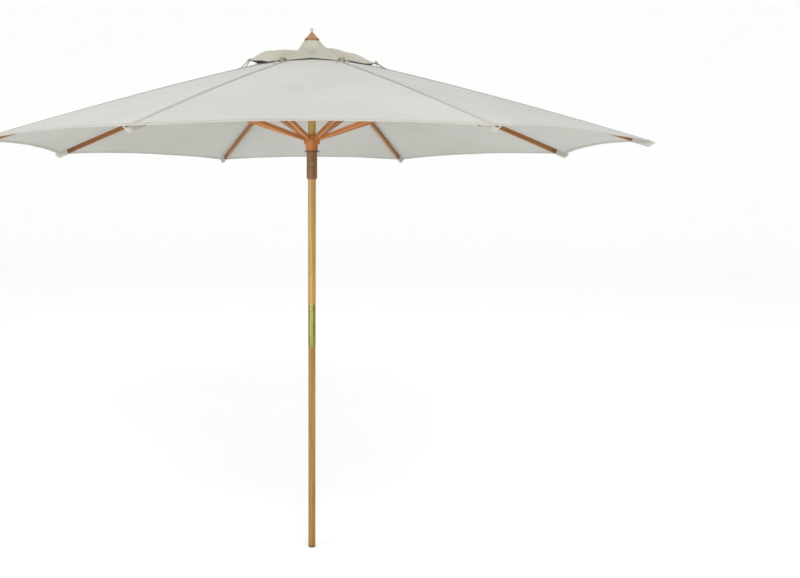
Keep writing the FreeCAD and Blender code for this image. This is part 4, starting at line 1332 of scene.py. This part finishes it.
@dataclass
class Woodwork:
    """The pole, hubs, ribs, struts and finial, with the metal that holds them."""

    finishes: dict[Finish, tuple[str, ...]]
    other: Finish

    def finish_for(self, node: str) -> Finish:
        """The finish that a CAD piece gets."""
        for finish, names in self.finishes.items():
            if node in names or node.startswith(tuple(name for name in names if name.endswith("_"))):
                return finish
        return self.other

    def dress(self) -> None:
        """Gives every CAD piece that still shows its finish."""
        materials = {finish: finish.material() for finish in (*self.finishes, self.other)}
        for name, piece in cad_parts.items():
            if piece.hide_render:
                continue
            finish = self.finish_for(name)
            for slot in piece.material_slots:
                slot.material = materials[finish]
            log.info("%s in %s", name, finish.name)


# ---- studio --------------------------------------------------------------------------------------


@dataclass(frozen=True)
class Lamp:
    """One soft rectangular lamp."""

    name: str
    place: Point
    aim: Point
    size: tuple[float, float]
    power: float

    def hang(self) -> None:
        """Adds the lamp to the scene."""
        light = bpy.data.lights.new(self.name, "AREA")
        light.shape = "RECTANGLE"
        light.size, light.size_y = self.size
        light.energy = self.power
        made = bpy.data.objects.new(self.name, light)
        made.location = self.place
        made.rotation_euler = (Vector(self.aim) - Vector(self.place)).to_track_quat("-Z", "Y").to_euler()
        bpy.context.scene.collection.objects.link(made)


@dataclass
class Studio:
    """A pale floor that sweeps up into a pale wall, soft lights and the camera."""

    floor_radius: float = 16.0
    bend: float = 6.0
    bend_steps: int = 16
    wall: float = 12.0
    around: int = 96
    distance: float = 3.994
    eye_height: float = 1.749
    pitch: float = 0.078
    focal: float = 833 / 800
    sensor: float = 36.0
    shift: tuple[float, float] = (0.1101, -0.0408)
    daylight: Colour = (0.97, 0.985, 1.0)
    daylight_strength: float = 1.05
    lamps: tuple[Lamp, ...] = (
        Lamp("key", (0.9, -6.8, 6.2), (0, 0, 1.8), (3.5, 3.5), 300),
        Lamp("side", (-4.6, -4.8, 1.7), (0, 0, 1.5), (0.9, 3.2), 170),
        Lamp("fill", (5.5, -5.0, 3.6), (0, 0, 1.6), (3.0, 2.0), 60),
        Lamp("low", (0.5, -6.0, 0.5), (0, 0, 2.1), (3.0, 1.0), 40),
    )

    def sweep_floor(self) -> None:
        """The floor and wall, one surface turned round the pole."""
        profile = [(0.0, 0.0), (self.floor_radius * 0.3, 0.0), (self.floor_radius, 0.0)]
        for step in range(1, self.bend_steps + 1):
            angle = math.pi / 2 * step / self.bend_steps
            out = self.floor_radius + self.bend * math.sin(angle)
            profile.append((out, self.bend * (1 - math.cos(angle))))
        profile.append((self.floor_radius + self.bend, self.wall))
        angles = [math.tau * j / self.around for j in range(self.around)]
        points = [Vector((r * math.cos(a), r * math.sin(a), z)) for r, z in profile for a in angles]
        faces = [(a, d, c, b) for a, b, c, d in grid_faces(len(profile), self.around, True)]
        floor = new_piece("studio_floor", points, faces)
        recipe = Recipe("studio_floor")
        dust = recipe.cloud(recipe.here(), 3.0, 3.0, 0.5)
        colour = recipe.blend(dust, linear(250, 250, 248), linear(247, 247, 246))
        surface = recipe.surface({"Base Color": colour, "Roughness": 0.85})
        floor.data.materials.append(recipe.finish(surface))

    def light(self) -> None:
        """Even daylight, with a soft key from above the front and lower lamps beside it."""
        world = bpy.data.worlds.new("daylight")
        world.use_nodes = True
        sky = world.node_tree.nodes["Background"]
        sky.inputs["Color"].default_value = (*self.daylight, 1.0)
        sky.inputs["Strength"].default_value = self.daylight_strength
        bpy.context.scene.world = world
        for lamp in self.lamps:
            lamp.hang()

    def camera(self) -> None:
        """The camera, below the canopy's rim and looking slightly down."""
        lens = bpy.data.cameras.new("camera")
        lens.sensor_width = self.sensor
        lens.lens = self.focal * self.sensor
        lens.shift_x, lens.shift_y = self.shift
        lens.clip_end = 100
        made = bpy.data.objects.new("camera", lens)
        made.location = (0, -self.distance, self.eye_height)
        made.rotation_euler = (math.pi / 2 - self.pitch, 0, 0)
        bpy.context.scene.collection.objects.link(made)
        bpy.context.scene.camera = made

    def build(self) -> None:
        """Sets the studio up."""
        bpy.context.scene.view_settings.view_transform = "Standard"
        self.sweep_floor()
        self.light()
        self.camera()
        log.info("studio ready")


def main() -> None:
    """Builds the umbrella's pieces in order."""
    logging.basicConfig(level=logging.INFO, format="%(name)s: %(message)s")
    Studio().build()
    shape = CanopyShape(crown_height=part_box("crown_hub")[1].z - HUB_ABOVE_PIVOTS)
    seam = SEAM_CANVAS.material()
    Canopy(shape).build(CANOPY_CANVAS.material(), seam, HEM_CANVAS.material())
    VentCap(shape, top=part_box("vent_cap")[1].z).build(CAP_CANVAS.material(), seam, TIE_TAPE.material())
    Woodwork(WOOD_AND_METAL, STEEL).dress()


if __name__ == "__main__":
    main()
